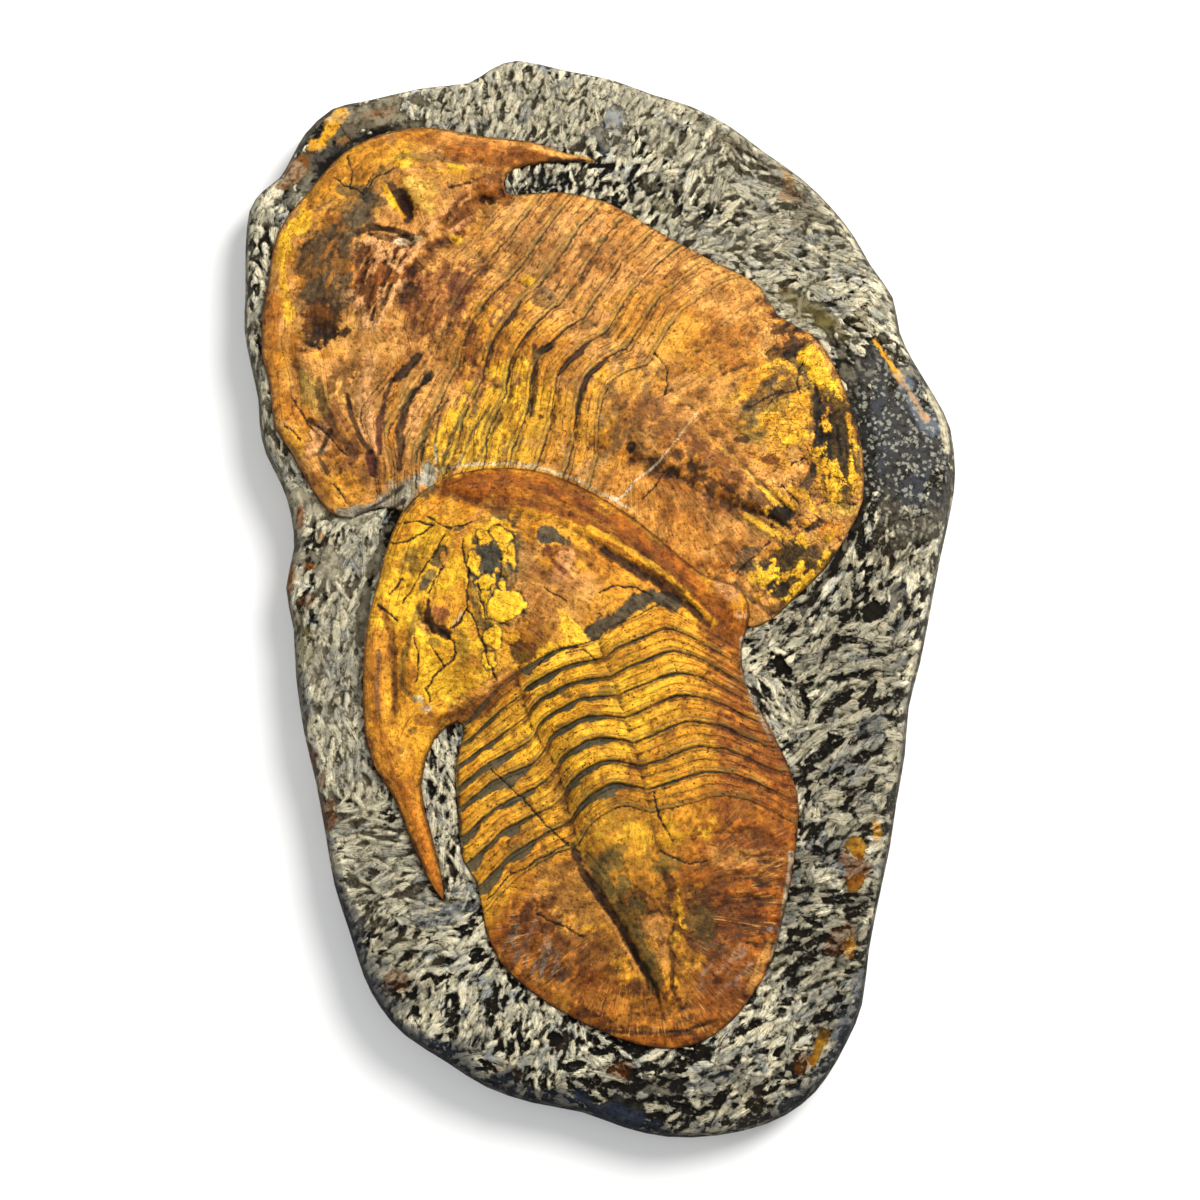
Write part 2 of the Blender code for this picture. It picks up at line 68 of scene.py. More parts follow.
# Rock: heights in millimetres above the flat back
ROCK_TOP = 27.0
EDGE_FALL = 5.5
EDGE_REACH = 14.0
POCKET_FLOOR = 10.0
WIDEST = 13.0
RIM_REACH = 4.0
SIDE_REACH = 1.8
SHOULDER_DEPTHS = (0.0, 1.4, 3.6, 5.0)
SHOULDER_HEIGHTS = (13.0, 18.0, 22.3, 40.0)
LOWER_SIDE = ((13.0, 0.0), (10.5, 0.9), (8.0, 1.9), (5.5, 3.1), (3.2, 5.3), (1.2, 8.2), (0.0, 10.0))
LOWER_SIDE_ROUGHNESS = 1.3

# Spacing of the fine surfaces
ROCK_SPACING = 0.64
SHELL_SPACING = 0.505
EDGE_RINGS = (0.4, 0.85, 1.4, 2.1)
RING_SPACING = 1.4
RING_CLEAR = 0.6
EDGE_CLEAR = 0.4

# Relief of the animals
BASE_STEP = 0.9
BODY_REACH = 15.0
AXIS_FURROW = 0.6
AXIS_FURROW_WIDTH = 0.22
AXIS_START = (3.0, 16.0)
AXIS_HEAD_SHARE = 0.45
AXIS_END = 9.0
CREST_HEIGHT = 35.0
PLEURA_SHARE = 0.5
STEP_MARGIN = 6.0
RIB_DEPTH = 0.35
RIB_SPACING = 0.9
SEGMENT_LENGTH = 8.6
LINE_REACH = 90.0
LINE_SOFTNESS = 13
WAVINESS = 0.09
RING_ARCH = 0.22
SEGMENTS = 8
RIM_RISE = 1.1
RIM_WIDTH = 4.5
RIM_FURROW = 0.9
RIM_FURROW_PLACE = 10.0
RIM_FURROW_WIDTH = 3.0
TAIL_RIM_SHARE = 0.6

PLATE_EDGE = (
    (-28, 185.5), (-37, 182.5), (-45, 177.5), (-60, 175.8), (-80, 171.2), (-91, 168.5), (-100, 160),
    (-104.6, 151.5), (-108.5, 144.5), (-114, 140), (-118.6, 133), (-119.8, 120), (-119.6, 105),
    (-119.8, 92), (-117.5, 80), (-114.8, 68), (-114.2, 59), (-112, 49.5), (-106.5, 38.5), (-103.4, 29),
    (-102.2, 17.5), (-104.7, 4), (-102, -10), (-101, -26), (-98, -45), (-94, -61), (-90.5, -79),
    (-87.5, -95), (-82.5, -110), (-77.5, -125), (-72, -135), (-64, -144), (-50, -153), (-37, -161),
    (-22, -166), (-6, -169), (8, -174), (22, -177), (38, -176.6), (54, -173), (66, -166.5), (74, -158),
    (81, -146), (86, -134), (88.5, -116), (92, -99), (95.8, -82), (98, -68), (101, -52), (102.5, -36),
    (106.5, -21), (110.2, -3), (113.5, 13.5), (117.5, 31), (119, 43), (117.6, 58), (112.5, 69), (105.5, 81),
    (101, 91), (98.8, 103), (91.5, 114), (86, 124), (78.5, 134), (68, 144.5), (55, 154), (44, 162.5),
    (31, 169.4), (18, 173.5), (4, 178.7), (-12, 182),
)

UPPER_EDGE = (
    (-2, 150.6), (-12, 153), (-24, 157), (-40, 158.8), (-56, 162), (-70, 161), (-82, 156.5), (-91, 149.5),
    (-99, 139.5), (-106, 131), (-110.5, 121), (-112, 109), (-114, 98), (-114, 84), (-111.2, 74),
    (-109.6, 60), (-104, 51), (-98.5, 41), (-91, 30.5), (-83, 28), (-74, 31.5), (-60, 28), (-30, 10),
    (0, 0), (30, -6), (48, -9.5), (57, -6.5), (65, 1), (75, 10.5), (83, 23), (88, 34), (88, 50), (84.5, 65),
    (79, 79), (72, 89.5), (60, 96.5), (53, 107.5), (41, 113.8), (27, 121.5), (14, 129), (2, 136),
    (-14, 139.4), (-27, 138.4), (-32, 139.5), (-32, 145.2), (-26, 148.8), (-14, 150),
)

LOWER_EDGE = (
    (-51.8, -99.8), (-57.5, -91), (-62.5, -80), (-67.5, -67), (-74, -57), (-77.8, -45), (-78.8, -28),
    (-78, -11), (-75, 2), (-71.5, 16), (-66.5, 29), (-58, 37.6), (-47, 42.8), (-33, 44.4), (-20, 43),
    (-8, 38.6), (4, 32), (16, 23.5), (27, 14), (36, 7.5), (45, 4.8), (49.5, -1.5), (49, -9), (47, -17),
    (48.6, -29), (54.5, -39.5), (60.5, -51.5), (65.3, -65), (65, -79), (62.8, -94), (59.5, -108),
    (56.3, -120), (50, -131), (42.5, -140), (32, -146.8), (20, -148.3), (6, -145), (-9, -138.2),
    (-22, -130.2), (-32.5, -120.5), (-37.6, -109), (-40.4, -94), (-45.4, -86), (-47, -70), (-47.8, -56),
    (-45, -44.5), (-47.5, -40.8), (-55, -46.5), (-59.4, -62), (-55.6, -79), (-52.4, -92),
)


@dataclass
class Animal:
    """What is measured on one fossil, all on the face's grid."""

    name: str
    edge: tuple
    front: tuple
    rear: tuple
    furrows: tuple
    segment_lines: tuple
    body_rise: float
    ring_step: float
    flow_middle: float
    axis_rise: float
    bumps: tuple
    ridges: tuple


UPPER = Animal(
    name="upper_trilobite",
    edge=UPPER_EDGE,
    front=(-105, 135.2),
    rear=(82, 17),
    furrows=(
        ((-95, 143), (-70, 132), (-45, 118), (-21, 104.6), (-5, 95.6), (15.5, 80.2),
         (37, 58.6), (52, 41.2), (61, 33)),
        ((-106, 116), (-89, 101), (-64, 88), (-38, 75.5), (0, 49.2), (18, 44.6), (41, 33.4),
         (58, 28)),
    ),
    # Edges of segments 0, 4 and 8 from the covered margin to the open one
    segment_lines=(
        ((-75, 35), (-77.5, 50), (-83, 65), (-73, 76), (-61, 91), (-55, 104), (-49, 119),
         (-32, 139)),
        ((-40, 44), (-39, 58), (-32, 73), (-29, 83), (-20, 94), (-11.5, 105), (-1, 122),
         (10, 136)),
        ((-4, 38), (-0.7, 54), (1.7, 68), (6, 74.5), (15.5, 80), (20.6, 89.4), (27, 99.4),
         (41, 110), (52, 114)),
    ),
    body_rise=6.5,
    ring_step=0.8,
    flow_middle=0.38,
    axis_rise=3.0,
    # x, y, length, width, turn of the length in degrees, height
    bumps=(
        (-66, 136.5, 6.0, 2.8, -62, -3.4),
        (-60.5, 139, 7.5, 3.2, -62, 1.4),
        (-73, 137, 6.0, 3.4, -62, 1.5),
        (-94, 92, 8.5, 6.0, -10, -4.0),
        (-99, 84, 8.0, 4.0, -40, 1.2),
        (-38, 138.8, 3.0, 2.0, 0, -2.5),
        (-98, 47, 5.0, 5.0, 0, 1.0),
        (61.5, 29, 7.0, 3.8, -30, -3.0),
    ),
    # points, width, height
    ridges=(
        (((-57, 122), (-65, 115), (-68, 108), (-71, 98)), 1.8, 1.5),
        (((-74.5, 114), (-76, 105), (-73, 93)), 1.8, 1.1),
        (((-81, 125), (-74.5, 127.5), (-66, 124)), 1.8, -1.4),
        (((-42, 143), (-50, 138), (-57, 127)), 2.2, 1.2),
        (((-34, 140), (-43, 131), (-52, 123)), 3.0, -1.8),
    ),
)

LOWER = Animal(
    name="lower_trilobite",
    edge=LOWER_EDGE,
    front=(-34, 44),
    rear=(27, -148.5),
    furrows=(
        ((-58, 27), (-46.4, -1.4), (-28.3, -22), (-23, -41), (-14, -55.5), (-9, -74),
         (-3.3, -93), (6.5, -109.6), (18, -127)),
        ((-34, 38), (-17.6, 12.4), (-1, -13.5), (5, -30), (10.6, -48.5), (15, -64), (18, -80),
         (24, -105), (23.5, -128)),
    ),
    segment_lines=(
        ((-46, -41), (-37, -31), (-29, -24), (-14.6, -17.5), (-1.3, -13), (1.5, -8),
         (12, -4), (19.6, 1), (28, -4), (49, -17)),
        ((-48, -69), (-37, -59.7), (-21, -53), (-17.6, -45.6), (-5, -39.5), (7, -39), (25, -30.5),
         (36, -31), (54, -40)),
        ((-39, -104), (-27, -91), (-14.5, -84), (-8, -82), (-2.3, -74.7), (8.3, -69),
         (16, -70.5), (26, -67.5), (37, -64), (50, -66), (66, -74)),
    ),
    body_rise=5.6,
    ring_step=1.5,
    flow_middle=0.24,
    axis_rise=3.2,
    bumps=(
        (-53.5, -4.5, 5.5, 4.0, 65, 2.0),
        (-58.5, -7, 6.0, 1.8, 115, -2.0),
        (-13.5, 14.5, 6.5, 4.0, 40, 1.8),
        (-31, -1.5, 7.0, 5.5, 20, 1.3),
        (45, 0, 5.5, 4.0, 60, 1.5),
        (-28, -17, 4.5, 4.0, 0, -1.6),
    ),
    ridges=(
        (((-3, 24), (13, 13.5), (27, 3)), 2.2, 1.1),
        (((-53, 38), (-39, 33), (-26, 30), (-13, 26), (0, 19), (27, 1), (36, -7)), 2.2, -1.6),
        (((-75, -8), (-74, -30), (-66, -55), (-57, -82)), 3.0, 1.2),
    ),
)

# Cheek spines, which lie beside the segments without being part of them
SPINE_SIDE = -49.0
SPINE_START = -42.0
UPPER_SPINE_START = 143.0

# The lower animal's head lies on the upper one, so it is lifted there
LIFT = 6.2
LIFT_FROM = -55.0
LIFT_TO = 12.0
LIFT_LEFT_SHARE = 0.45
LIFT_LEFT_FROM = -45.0
LIFT_LEFT_TO = -80.0

# Chisel strokes: place, direction in degrees, length, width, how much of the rock they cover
STROKE_GUIDES = (
    (-40, 174, 82, 6, 2, 1), (-15, 172, 75, 6.5, 2.1, 1), (-60, 168, 85, 5.5, 1.8, 1),
    (15, 165, 62, 7, 2.4, 0.9), (35, 150, 55, 7, 2.5, 0.9), (-15, 145, 70, 4.5, 1.8, 0.7),
    (15, 143, 50, 5, 2, 0.75), (50, 160, 130, 7.5, 2.6, 0.9), (60, 140, 160, 8, 2.8, 0.9),
    (55, 122, 10, 6, 2.4, 0.8), (75, 128, -25, 7.5, 2.6, 0.9), (85, 110, -18, 8, 2.6, 0.9),
    (70, 105, 12, 8, 2.6, 0.85), (93, 96, -30, 7.5, 2.6, 0.9), (100, 75, -60, 6, 2, 0.3),
    (95, 60, -70, 3, 1.4, 0.12), (108, 45, -75, 4, 1.5, 0.14), (95, 25, 62, 7, 2, 0.3),
    (108, 20, 70, 9, 2.4, 0.5), (85, 8, 58, 9, 2.6, 0.6), (100, -5, 60, 9, 3, 0.7),
    (60, -12, 35, 8, 2.3, 0.8), (90, -18, 5, 9, 2.8, 0.8), (75, -30, 30, 9.5, 3.2, 0.72),
    (90, -42, 35, 10, 3.4, 0.72), (70, -48, 35, 9, 3, 0.75), (62, -35, -60, 6, 2, 0.9),
    (80, -62, 32, 9, 3.2, 0.72), (72, -72, 50, 6, 2.2, 0.75), (80, -88, 5, 7, 2.4, 0.75),
    (72, -100, 0, 7.5, 2.2, 0.75), (76, -115, 15, 8, 3, 0.75), (62, -130, 45, 7, 3, 0.75),
    (75, -140, 30, 7.5, 2.8, 0.7), (50, -150, 40, 7, 3, 0.7), (30, -160, 15, 8.5, 2.6, 0.45),
    (60, -165, 30, 7, 2.6, 0.4), (0, -160, -15, 8.5, 2.6, 0.4), (-20, -148, 75, 5.5, 2.2, 0.7),
    (-35, -140, 80, 5.5, 2.2, 0.75), (-40, -158, -10, 7, 2.5, 0.5), (-55, -135, 60, 6, 2.5, 0.8),
    (-65, -122, 35, 6, 2.4, 0.8), (-50, -118, 20, 7, 2.5, 0.85), (-58, -105, 10, 9, 2.5, 0.85),
    (-75, -105, 50, 6, 2.2, 0.8), (-76, -92, -8, 10, 2.4, 0.95), (-70, -82, 5, 7, 2, 0.85),
    (-80, -76, 10, 6.5, 2, 0.9), (-80, -60, 100, 6.5, 2, 0.9), (-86, -45, 95, 8, 2.2, 0.95),
    (-90, -25, 80, 7.5, 2.4, 0.9), (-86, 0, 88, 9, 2, 0.95), (-96, 5, 60, 4.5, 2, 0.6),
    (-82, 18, 88, 8.5, 1.9, 0.95), (-95, 22, 60, 5, 2, 0.6), (-78, 30, 20, 8, 1.8, 0.9),
    (-103, 42, -60, 8, 2.6, 0.85), (-112, 60, 95, 6, 1.8, 0.8), (-117, 95, 90, 5, 1.9, 0.8),
    (-117, 118, 88, 5, 1.9, 0.8), (-113, 134, 60, 6, 3.4, 0.95), (-53, -60, 95, 6.5, 2, 0.95),
    (-50, -85, 100, 6.5, 1.9, 0.95), (-80, 165, 70, 5, 2, 0.25), (-95, 158, 60, 5, 2, 0.1),
)


def smooth_loop(corners, steps):
    """Closed counter-clockwise smooth curve through the corners, with a few steps to each."""
    corners = np.array(corners, float)
    after = np.roll(corners, -1, axis=0)
    if np.sum(corners[:, 0] * after[:, 1] - corners[:, 1] * after[:, 0]) < 0:
        corners = corners[::-1]
        after = np.roll(corners, -1, axis=0)
    before = np.roll(corners, 1, axis=0)
    beyond = np.roll(corners, -2, axis=0)
    parts = []
    for step in range(steps):
        f = step / steps
        parts.append(0.5 * (
            2 * corners
            + (after - before) * f
            + (2 * before - 5 * corners + 4 * after - beyond) * f ** 2
            + (3 * corners - before - 3 * after + beyond) * f ** 3
        ))
    return np.stack(parts, axis=1).reshape(-1, 2)


def outward(loop):
    """Mitred outward direction at each point of a counter-clockwise loop."""
    ahead = np.roll(loop, -1, axis=0) - loop
    ahead /= np.linalg.norm(ahead, axis=1)[:, None]
    normal = np.stack((ahead[:, 1], -ahead[:, 0]), axis=1)
    mean = normal + np.roll(normal, 1, axis=0)
    mean /= np.linalg.norm(mean, axis=1)[:, None]
    spread = np.clip(np.sum(mean * normal, axis=1), 0.35, 1.0)
    return mean / spread[:, None]


def grown(loop, amount):
    """The loop moved outward, or inward for a negative amount."""
    return loop + outward(loop) * amount


def walked(loop, spacing):
    """Points at an even spacing along a closed loop."""
    closed = np.vstack((loop, loop[:1]))
    lengths = np.linalg.norm(np.diff(closed, axis=0), axis=1)
    travelled = np.concatenate(((0.0,), np.cumsum(lengths)))
    stops = np.linspace(0, travelled[-1], int(travelled[-1] / spacing), endpoint=False)
    return np.stack([np.interp(stops, travelled, closed[:, k]) for k in range(2)], axis=1)


def distance(points, line, closed=False):
    """Distance from each point to a line of straight stretches."""
    line = np.array(line, float)
    ends = np.roll(line, -1, axis=0) if closed else line[1:]
    starts = line if closed else line[:-1]
    nearest = np.full(len(points), np.inf)
    for start, end in zip(starts, ends):
        run = end - start
        offset = points - start
        share = np.clip(offset @ run / (run @ run), 0.0, 1.0)
        across = offset - share[:, None] * run
        nearest = np.minimum(nearest, across[:, 0] ** 2 + across[:, 1] ** 2)
    return np.sqrt(nearest)


def inside(points, loop):
    """True where a point is inside the loop."""
    result = np.zeros(len(points), bool)
    for (x0, y0), (x1, y1) in zip(loop, np.roll(loop, -1, axis=0)):
        if y0 == y1:
            continue
        crosses = (points[:, 1] < y0) != (points[:, 1] < y1)
        result ^= crosses & (points[:, 0] < x0 + (points[:, 1] - y0) * (x1 - x0) / (y1 - y0))
    return result


def smoothstep(low, high, value):
    share = np.clip((value - low) / (high - low), 0.0, 1.0)
    return share * share * (3 - 2 * share)


def sight_share(height):
    """How far up the line of sight, from the face's level to the eye, a height is."""
    return np.reshape((height - ROCK_TOP) / (VIEW_HEIGHT - ROCK_TOP), (-1, 1))


def at_height(points, height):
    """True places of what was measured on the grid but is at another height."""
    return points + (np.array(VIEW_PLACE) - points) * sight_share(height)


def as_measured(points, height):
    """The reverse of at_height: where on the grid true places at a height were measured."""
    share = sight_share(height)
    return (points - np.array(VIEW_PLACE) * share) / (1 - share)


PLATE = at_height(smooth_loop(PLATE_EDGE, 2), WIDEST)
MIDDLE = (PLATE.min(axis=0) + PLATE.max(axis=0)) / 2

NOISE_TABLE = 256


def lattice_values(seed):
    return np.random.default_rng(seed).uniform(-1, 1, (NOISE_TABLE, NOISE_TABLE))


def smooth_noise(x, y, seed):
    """Noise from -1 to 1 with cells one unit wide."""
    table = lattice_values(seed)
    column = np.floor(x).astype(int)
    row = np.floor(y).astype(int)
    fx = x - column
    fy = y - row
    fx = fx * fx * fx * (fx * (fx * 6 - 15) + 10)
    fy = fy * fy * fy * (fy * (fy * 6 - 15) + 10)
    left, right = column % NOISE_TABLE, (column + 1) % NOISE_TABLE
    low, high = row % NOISE_TABLE, (row + 1) % NOISE_TABLE
    bottom = table[left, low] * (1 - fx) + table[right, low] * fx
    top = table[left, high] * (1 - fx) + table[right, high] * fx
    return bottom * (1 - fy) + top * fy


def cloud(points, size, seed, octaves=4, roughness=0.5):
    """Layered noise, about -1 to 1, whose largest lumps are about the given size."""
    total = np.zeros(len(points))
    weight = 1.0
    reach = 0.0
    for octave in range(octaves):
        scale = 2 ** octave / size
        turn = 0.7 * octave
        x = points[:, 0] * math.cos(turn) + points[:, 1] * math.sin(turn)
        y = points[:, 1] * math.cos(turn) - points[:, 0] * math.sin(turn)
        total += weight * smooth_noise(x * scale, y * scale, seed + octave)
        reach += weight
        weight *= roughness
    return total / reach * 1.6


def shards(points, size, seed):
    """Cracked plates: distance to the nearest crack, in plate sizes, and a number for each plate."""
    x = points[:, 0] / size
    y = points[:, 1] / size
    shift_x = lattice_values(seed)
    shift_y = lattice_values(seed + 1)
    column = np.floor(x).astype(int)
    row = np.floor(y).astype(int)
    first = np.full(len(points), 9.0)
    second = np.full(len(points), 9.0)
    number = np.zeros(len(points))
    for across in (-1, 0, 1):
        for up in (-1, 0, 1):
            key = ((column + across) % NOISE_TABLE, (row + up) % NOISE_TABLE)
            dx = column + across + 0.5 + 0.45 * shift_x[key] - x
            dy = row + up + 0.5 + 0.45 * shift_y[key] - y
            gap = np.hypot(dx, dy)
            closer = gap < first
            second = np.where(closer, first, np.minimum(second, gap))
            number = np.where(closer, shift_x[key] * 0.5 + shift_y[key] * 0.5, number)
            first = np.where(closer, gap, first)
    return second - first, number


def depth_in(points, loop):
    """How far inside the loop each point lies, and 0 outside it."""
    return np.where(inside(points, loop), distance(points, loop, closed=True), 0.0)


def without(points, loop, gap):
    """The points that lie outside the loop by more than a gap."""
    return points[(distance(points, loop, closed=True) > gap) & ~inside(points, loop)]


def rock_height(points):
    """Height of the rock's face without its lumps: level, and falling towards the edge."""
    return ROCK_TOP - EDGE_FALL * np.exp(-depth_in(points, PLATE) / EDGE_REACH)


def body_frame(animal):
    """Front point, direction to the rear and direction across, for one animal."""
    front = np.array(animal.front, float)
    along = np.array(animal.rear, float) - front
    along /= np.linalg.norm(along)
    return front, along, np.array((-along[1], along[0]))


def to_body(animal, points):
    """Distance behind the front and distance across the midline."""
    front, along, across = body_frame(animal)
    offset = np.array(points, float) - front
    return offset @ along, offset @ across


def line_places(animal, t):
    """How far back the edges of segments 0, 4 and 8 lie at each distance across."""
    places = []
    steps = np.arange(-LINE_REACH, LINE_REACH + 1.0)
    window = np.hanning(LINE_SOFTNESS)
    for line in animal.segment_lines:
        line_s, line_t = to_body(animal, line)
        order = np.argsort(line_t)
        rough = np.interp(steps, line_t[order], line_s[order])
        padded = np.pad(rough, LINE_SOFTNESS // 2, mode="edge")
        places.append(np.interp(t, steps, np.convolve(padded, window / window.sum(), mode="valid")))
    return places


def segment_number(animal, s, t):
    """0 at the rear of the head to 8 at the front of the tail shield, and on beyond both."""
    first, fourth, last = line_places(animal, t)
    half = SEGMENTS / 2
    front_part = half * (s - first) / (fourth - first)
    rear_part = half + half * (s - fourth) / (last - fourth)
    number = np.where(s < fourth, front_part, rear_part)
    number = np.where(s < first, (s - first) / SEGMENT_LENGTH, number)
    return np.where(s > last, SEGMENTS + (s - last) / SEGMENT_LENGTH, number)


def lobe_middle(animal, s):
    """Middle and half width of the raised axial lobe."""
    sides = []
    for furrow in animal.furrows:
        furrow_s, furrow_t = to_body(animal, furrow)
        sides.append(np.interp(s, furrow_s, furrow_t))
    return (sides[0] + sides[1]) / 2, np.abs(sides[0] - sides[1]) / 2


def lobe_strength(animal, s, number):
    """1 along the axial lobe, less on the head, and 0 before its front and behind its tip."""
    tip = max(to_body(animal, furrow)[0].max() for furrow in animal.furrows)
    head = AXIS_HEAD_SHARE + (1 - AXIS_HEAD_SHARE) * smoothstep(-1.0, 0.0, number)
    return head * smoothstep(*AXIS_START, s) * (1 - smoothstep(tip, tip + AXIS_END, s))


def segment_step(number):
    """Each segment rises to its rear edge and drops there to the next one."""
    share = number - np.floor(number)
    step = smoothstep(0.08, 0.5, share) * (1 - smoothstep(0.93, 1.0, share))
    return np.where((number > 0) & (number < SEGMENTS), step, smoothstep(0.4, 1.0, number) * 0.5)


def oval(points, x, y, length, width, turn):
    """Distance from an oval's middle, 1 at its edge."""
    angle = math.radians(turn)
    offset = points - np.array((x, y))
    lengthwise = offset @ np.array((math.cos(angle), math.sin(angle))) / length
    crosswise = offset @ np.array((-math.sin(angle), math.cos(angle))) / width
    return np.sqrt(lengthwise ** 2 + crosswise ** 2)


def features(animal, points):
    """Eyes, pits and ridges that have a place of their own."""
    height = np.zeros(len(points))
    for x, y, length, width, turn, rise in animal.bumps:
        height += rise * np.exp(-oval(points, x, y, length, width, turn) ** 2)
    for line, width, rise in animal.ridges:
        height += rise * np.exp(-(distance(points, line) / width) ** 2)
    return height


def lift(points):
    """How much higher the lower animal's head lies where it covers the upper animal."""
    x, y = points[:, 0], points[:, 1]
    left = LIFT_LEFT_SHARE * smoothstep(LIFT_LEFT_FROM, LIFT_LEFT_TO, x)
    return LIFT * smoothstep(LIFT_FROM, LIFT_TO, y) * (1 - left)


def crest_height(animal, points):
    """About how high the animal's back lies, for moving places along the line of sight."""
    return CREST_HEIGHT + (lift(points) if animal is LOWER else np.zeros(len(points)))


def animal_loop(animal):
    """The animal's outline, moved to the height that its edge lies at."""
    loop = smooth_loop(animal.edge, 2)
    return at_height(loop, ROCK_TOP + lift(loop)) if animal is LOWER else loop


class Surface:
    """The places on one animal and what is measured at each."""

    def __init__(self, animal, points):
        self.animal = animal
        self.points = points
        self.seen = as_measured(points, crest_height(animal, points))
        self.s, self.t = to_body(animal, self.seen)
        self.number = segment_number(animal, self.s, self.t)
        waves = 0.7 * cloud(points, 16, 21) + 0.25 * smooth_noise(self.t * 0.3, self.s * 0.12, 27)
        self.number += WAVINESS * waves
        on_spine = (self.seen[:, 0] < SPINE_SIDE) & (self.seen[:, 1] < SPINE_START)
        self.number[on_spine & (animal is LOWER)] = -SEGMENTS
        self.number[(self.seen[:, 1] > UPPER_SPINE_START) & (animal is UPPER)] = -SEGMENTS
        middle, half_width = lobe_middle(animal, self.s)
        self.lobe = (self.t - middle) / half_width
        self.on_lobe = np.abs(self.lobe) < 1
        self.number += RING_ARCH * (np.sqrt(np.clip(1 - self.lobe ** 2, 0.0, 1.0)) - 0.5)
        self.share = self.number - np.floor(self.number)
        self.depth = depth_in(points, animal_loop(animal))
        self.tail = smoothstep(SEGMENTS, SEGMENTS + 1, self.number)
        self.head = smoothstep(0.0, -1.0, self.number)
        self.thorax = (self.number > 0) & (self.number < SEGMENTS)


def main_relief(place):
    """Height of an animal's surface above the plate's back, without its fine detail."""
    animal = place.animal
    body = animal.body_rise * (1 - np.exp(-place.depth / BODY_REACH))
    crown = animal.axis_rise * np.clip(1 - place.lobe ** 2, 0.0, 1.0) ** 1.5
    furrow = AXIS_FURROW * np.exp(-((np.abs(place.lobe) - 1) / AXIS_FURROW_WIDTH) ** 2)
    axis = (crown - furrow) * lobe_strength(animal, place.s, place.number)
    steps = animal.ring_step * segment_step(place.number) * np.where(place.on_lobe, 1.0, PLEURA_SHARE)
    steps *= smoothstep(0.0, STEP_MARGIN, place.depth)
    ribs = RIB_DEPTH * np.cos(2 * math.pi * place.number / RIB_SPACING) * place.tail
    rim = RIM_RISE * np.exp(-((place.depth - RIM_WIDTH) / RIM_WIDTH) ** 2)
    rim -= RIM_FURROW * np.exp(-((place.depth - RIM_FURROW_PLACE) / RIM_FURROW_WIDTH) ** 2)
    rim *= np.maximum(place.head, TAIL_RIM_SHARE * place.tail)
    height = rock_height(place.points) + BASE_STEP + body + axis + steps + ribs + rim
    if animal is LOWER:
        height += lift(place.points)
    return height + features(animal, place.seen)


def hexagon_lattice(loop, spacing):
    """Evenly spread points over the whole reach of a loop."""
    low, high = loop.min(axis=0), loop.max(axis=0)
    columns = np.arange(low[0], high[0], spacing)
    rows = np.arange(low[1], high[1], spacing * math.sqrt(3) / 2)
    grid_x, grid_y = np.meshgrid(columns, rows)
    grid_x = grid_x + (np.arange(len(rows)) % 2)[:, None] * spacing / 2
    return np.stack((grid_x.ravel(), grid_y.ravel()), axis=1)


def triangulated(points, loops):
    """Triangles over points and closed loops, which they keep as edges; loops may cross."""
    every = [points]
    edges = []
    start = len(points)
    for loop in loops:
        every.append(loop)
        edges += [(start + i, start + (i + 1) % len(loop)) for i in range(len(loop))]
        start += len(loop)
    flat = np.concatenate(every)
    result = geometry.delaunay_2d_cdt([Vector(p) for p in flat], edges, [], 0, 0.0001)
    return np.array([tuple(v) for v in result[0]]), np.array(result[2])


def border_edges(faces):
    """Edges that only one of the faces has, running the way that face runs."""
    edges = np.concatenate((faces[:, (0, 1)], faces[:, (1, 2)], faces[:, (2, 0)]))
    seen = {tuple(edge) for edge in edges}
    return np.array([edge for edge in edges if (edge[1], edge[0]) not in seen])


def make_mesh(name, points, heights, faces, attributes):
    """A mesh object from grid places, heights and triangles, with its vertex attributes."""
    co = np.column_stack(((points - MIDDLE) * MM, heights * MM))
    mesh = bpy.data.meshes.new(name)
    mesh.from_pydata(co.tolist(), [], [tuple(face) for face in faces])
    mesh.validate()
    for key, values in attributes.items():
        kind = "FLOAT" if values.ndim == 1 else "FLOAT_COLOR"
        attribute = mesh.attributes.new(key, kind, "POINT")
        if values.ndim == 1:
            attribute.data.foreach_set("value", values.astype(np.float32))
        else:
            full = np.column_stack((values, np.ones(len(values))))
            attribute.data.foreach_set("color", full.astype(np.float32).ravel())
    mesh.shade_smooth()
    obj = bpy.data.objects.new(name, mesh)
    bpy.context.scene.collection.objects.link(obj)
    return obj


def closed_block(top_points, top_faces, floor):
    """Adds walls down to a flat floor under a surface: places, which ones are on the floor, faces."""
    edges = border_edges(top_faces)
    rim = np.unique(edges)
    floor_of = {int(v): len(top_points) + i for i, v in enumerate(rim)}
    walls = []
    for a, b in edges:
        below_a, below_b = floor_of[int(a)], floor_of[int(b)]
        walls.append((a, below_a, below_b))
        walls.append((a, below_b, b))
    rank = {int(v): i for i, v in enumerate(rim)}
    rim_points = top_points[rim]
    rim_edges = [(rank[int(a)], rank[int(b)]) for a, b in edges]
    under = geometry.delaunay_2d_cdt([Vector(p) for p in rim_points], rim_edges, [], 1, 0.00001)
    under_faces = [tuple(len(top_points) + under[3][k][0] for k in reversed(face)) for face in under[2]]
    faces = np.concatenate((top_faces, np.array(walls), np.array(under_faces)))
    return np.concatenate((top_points, rim_points)), rim, faces


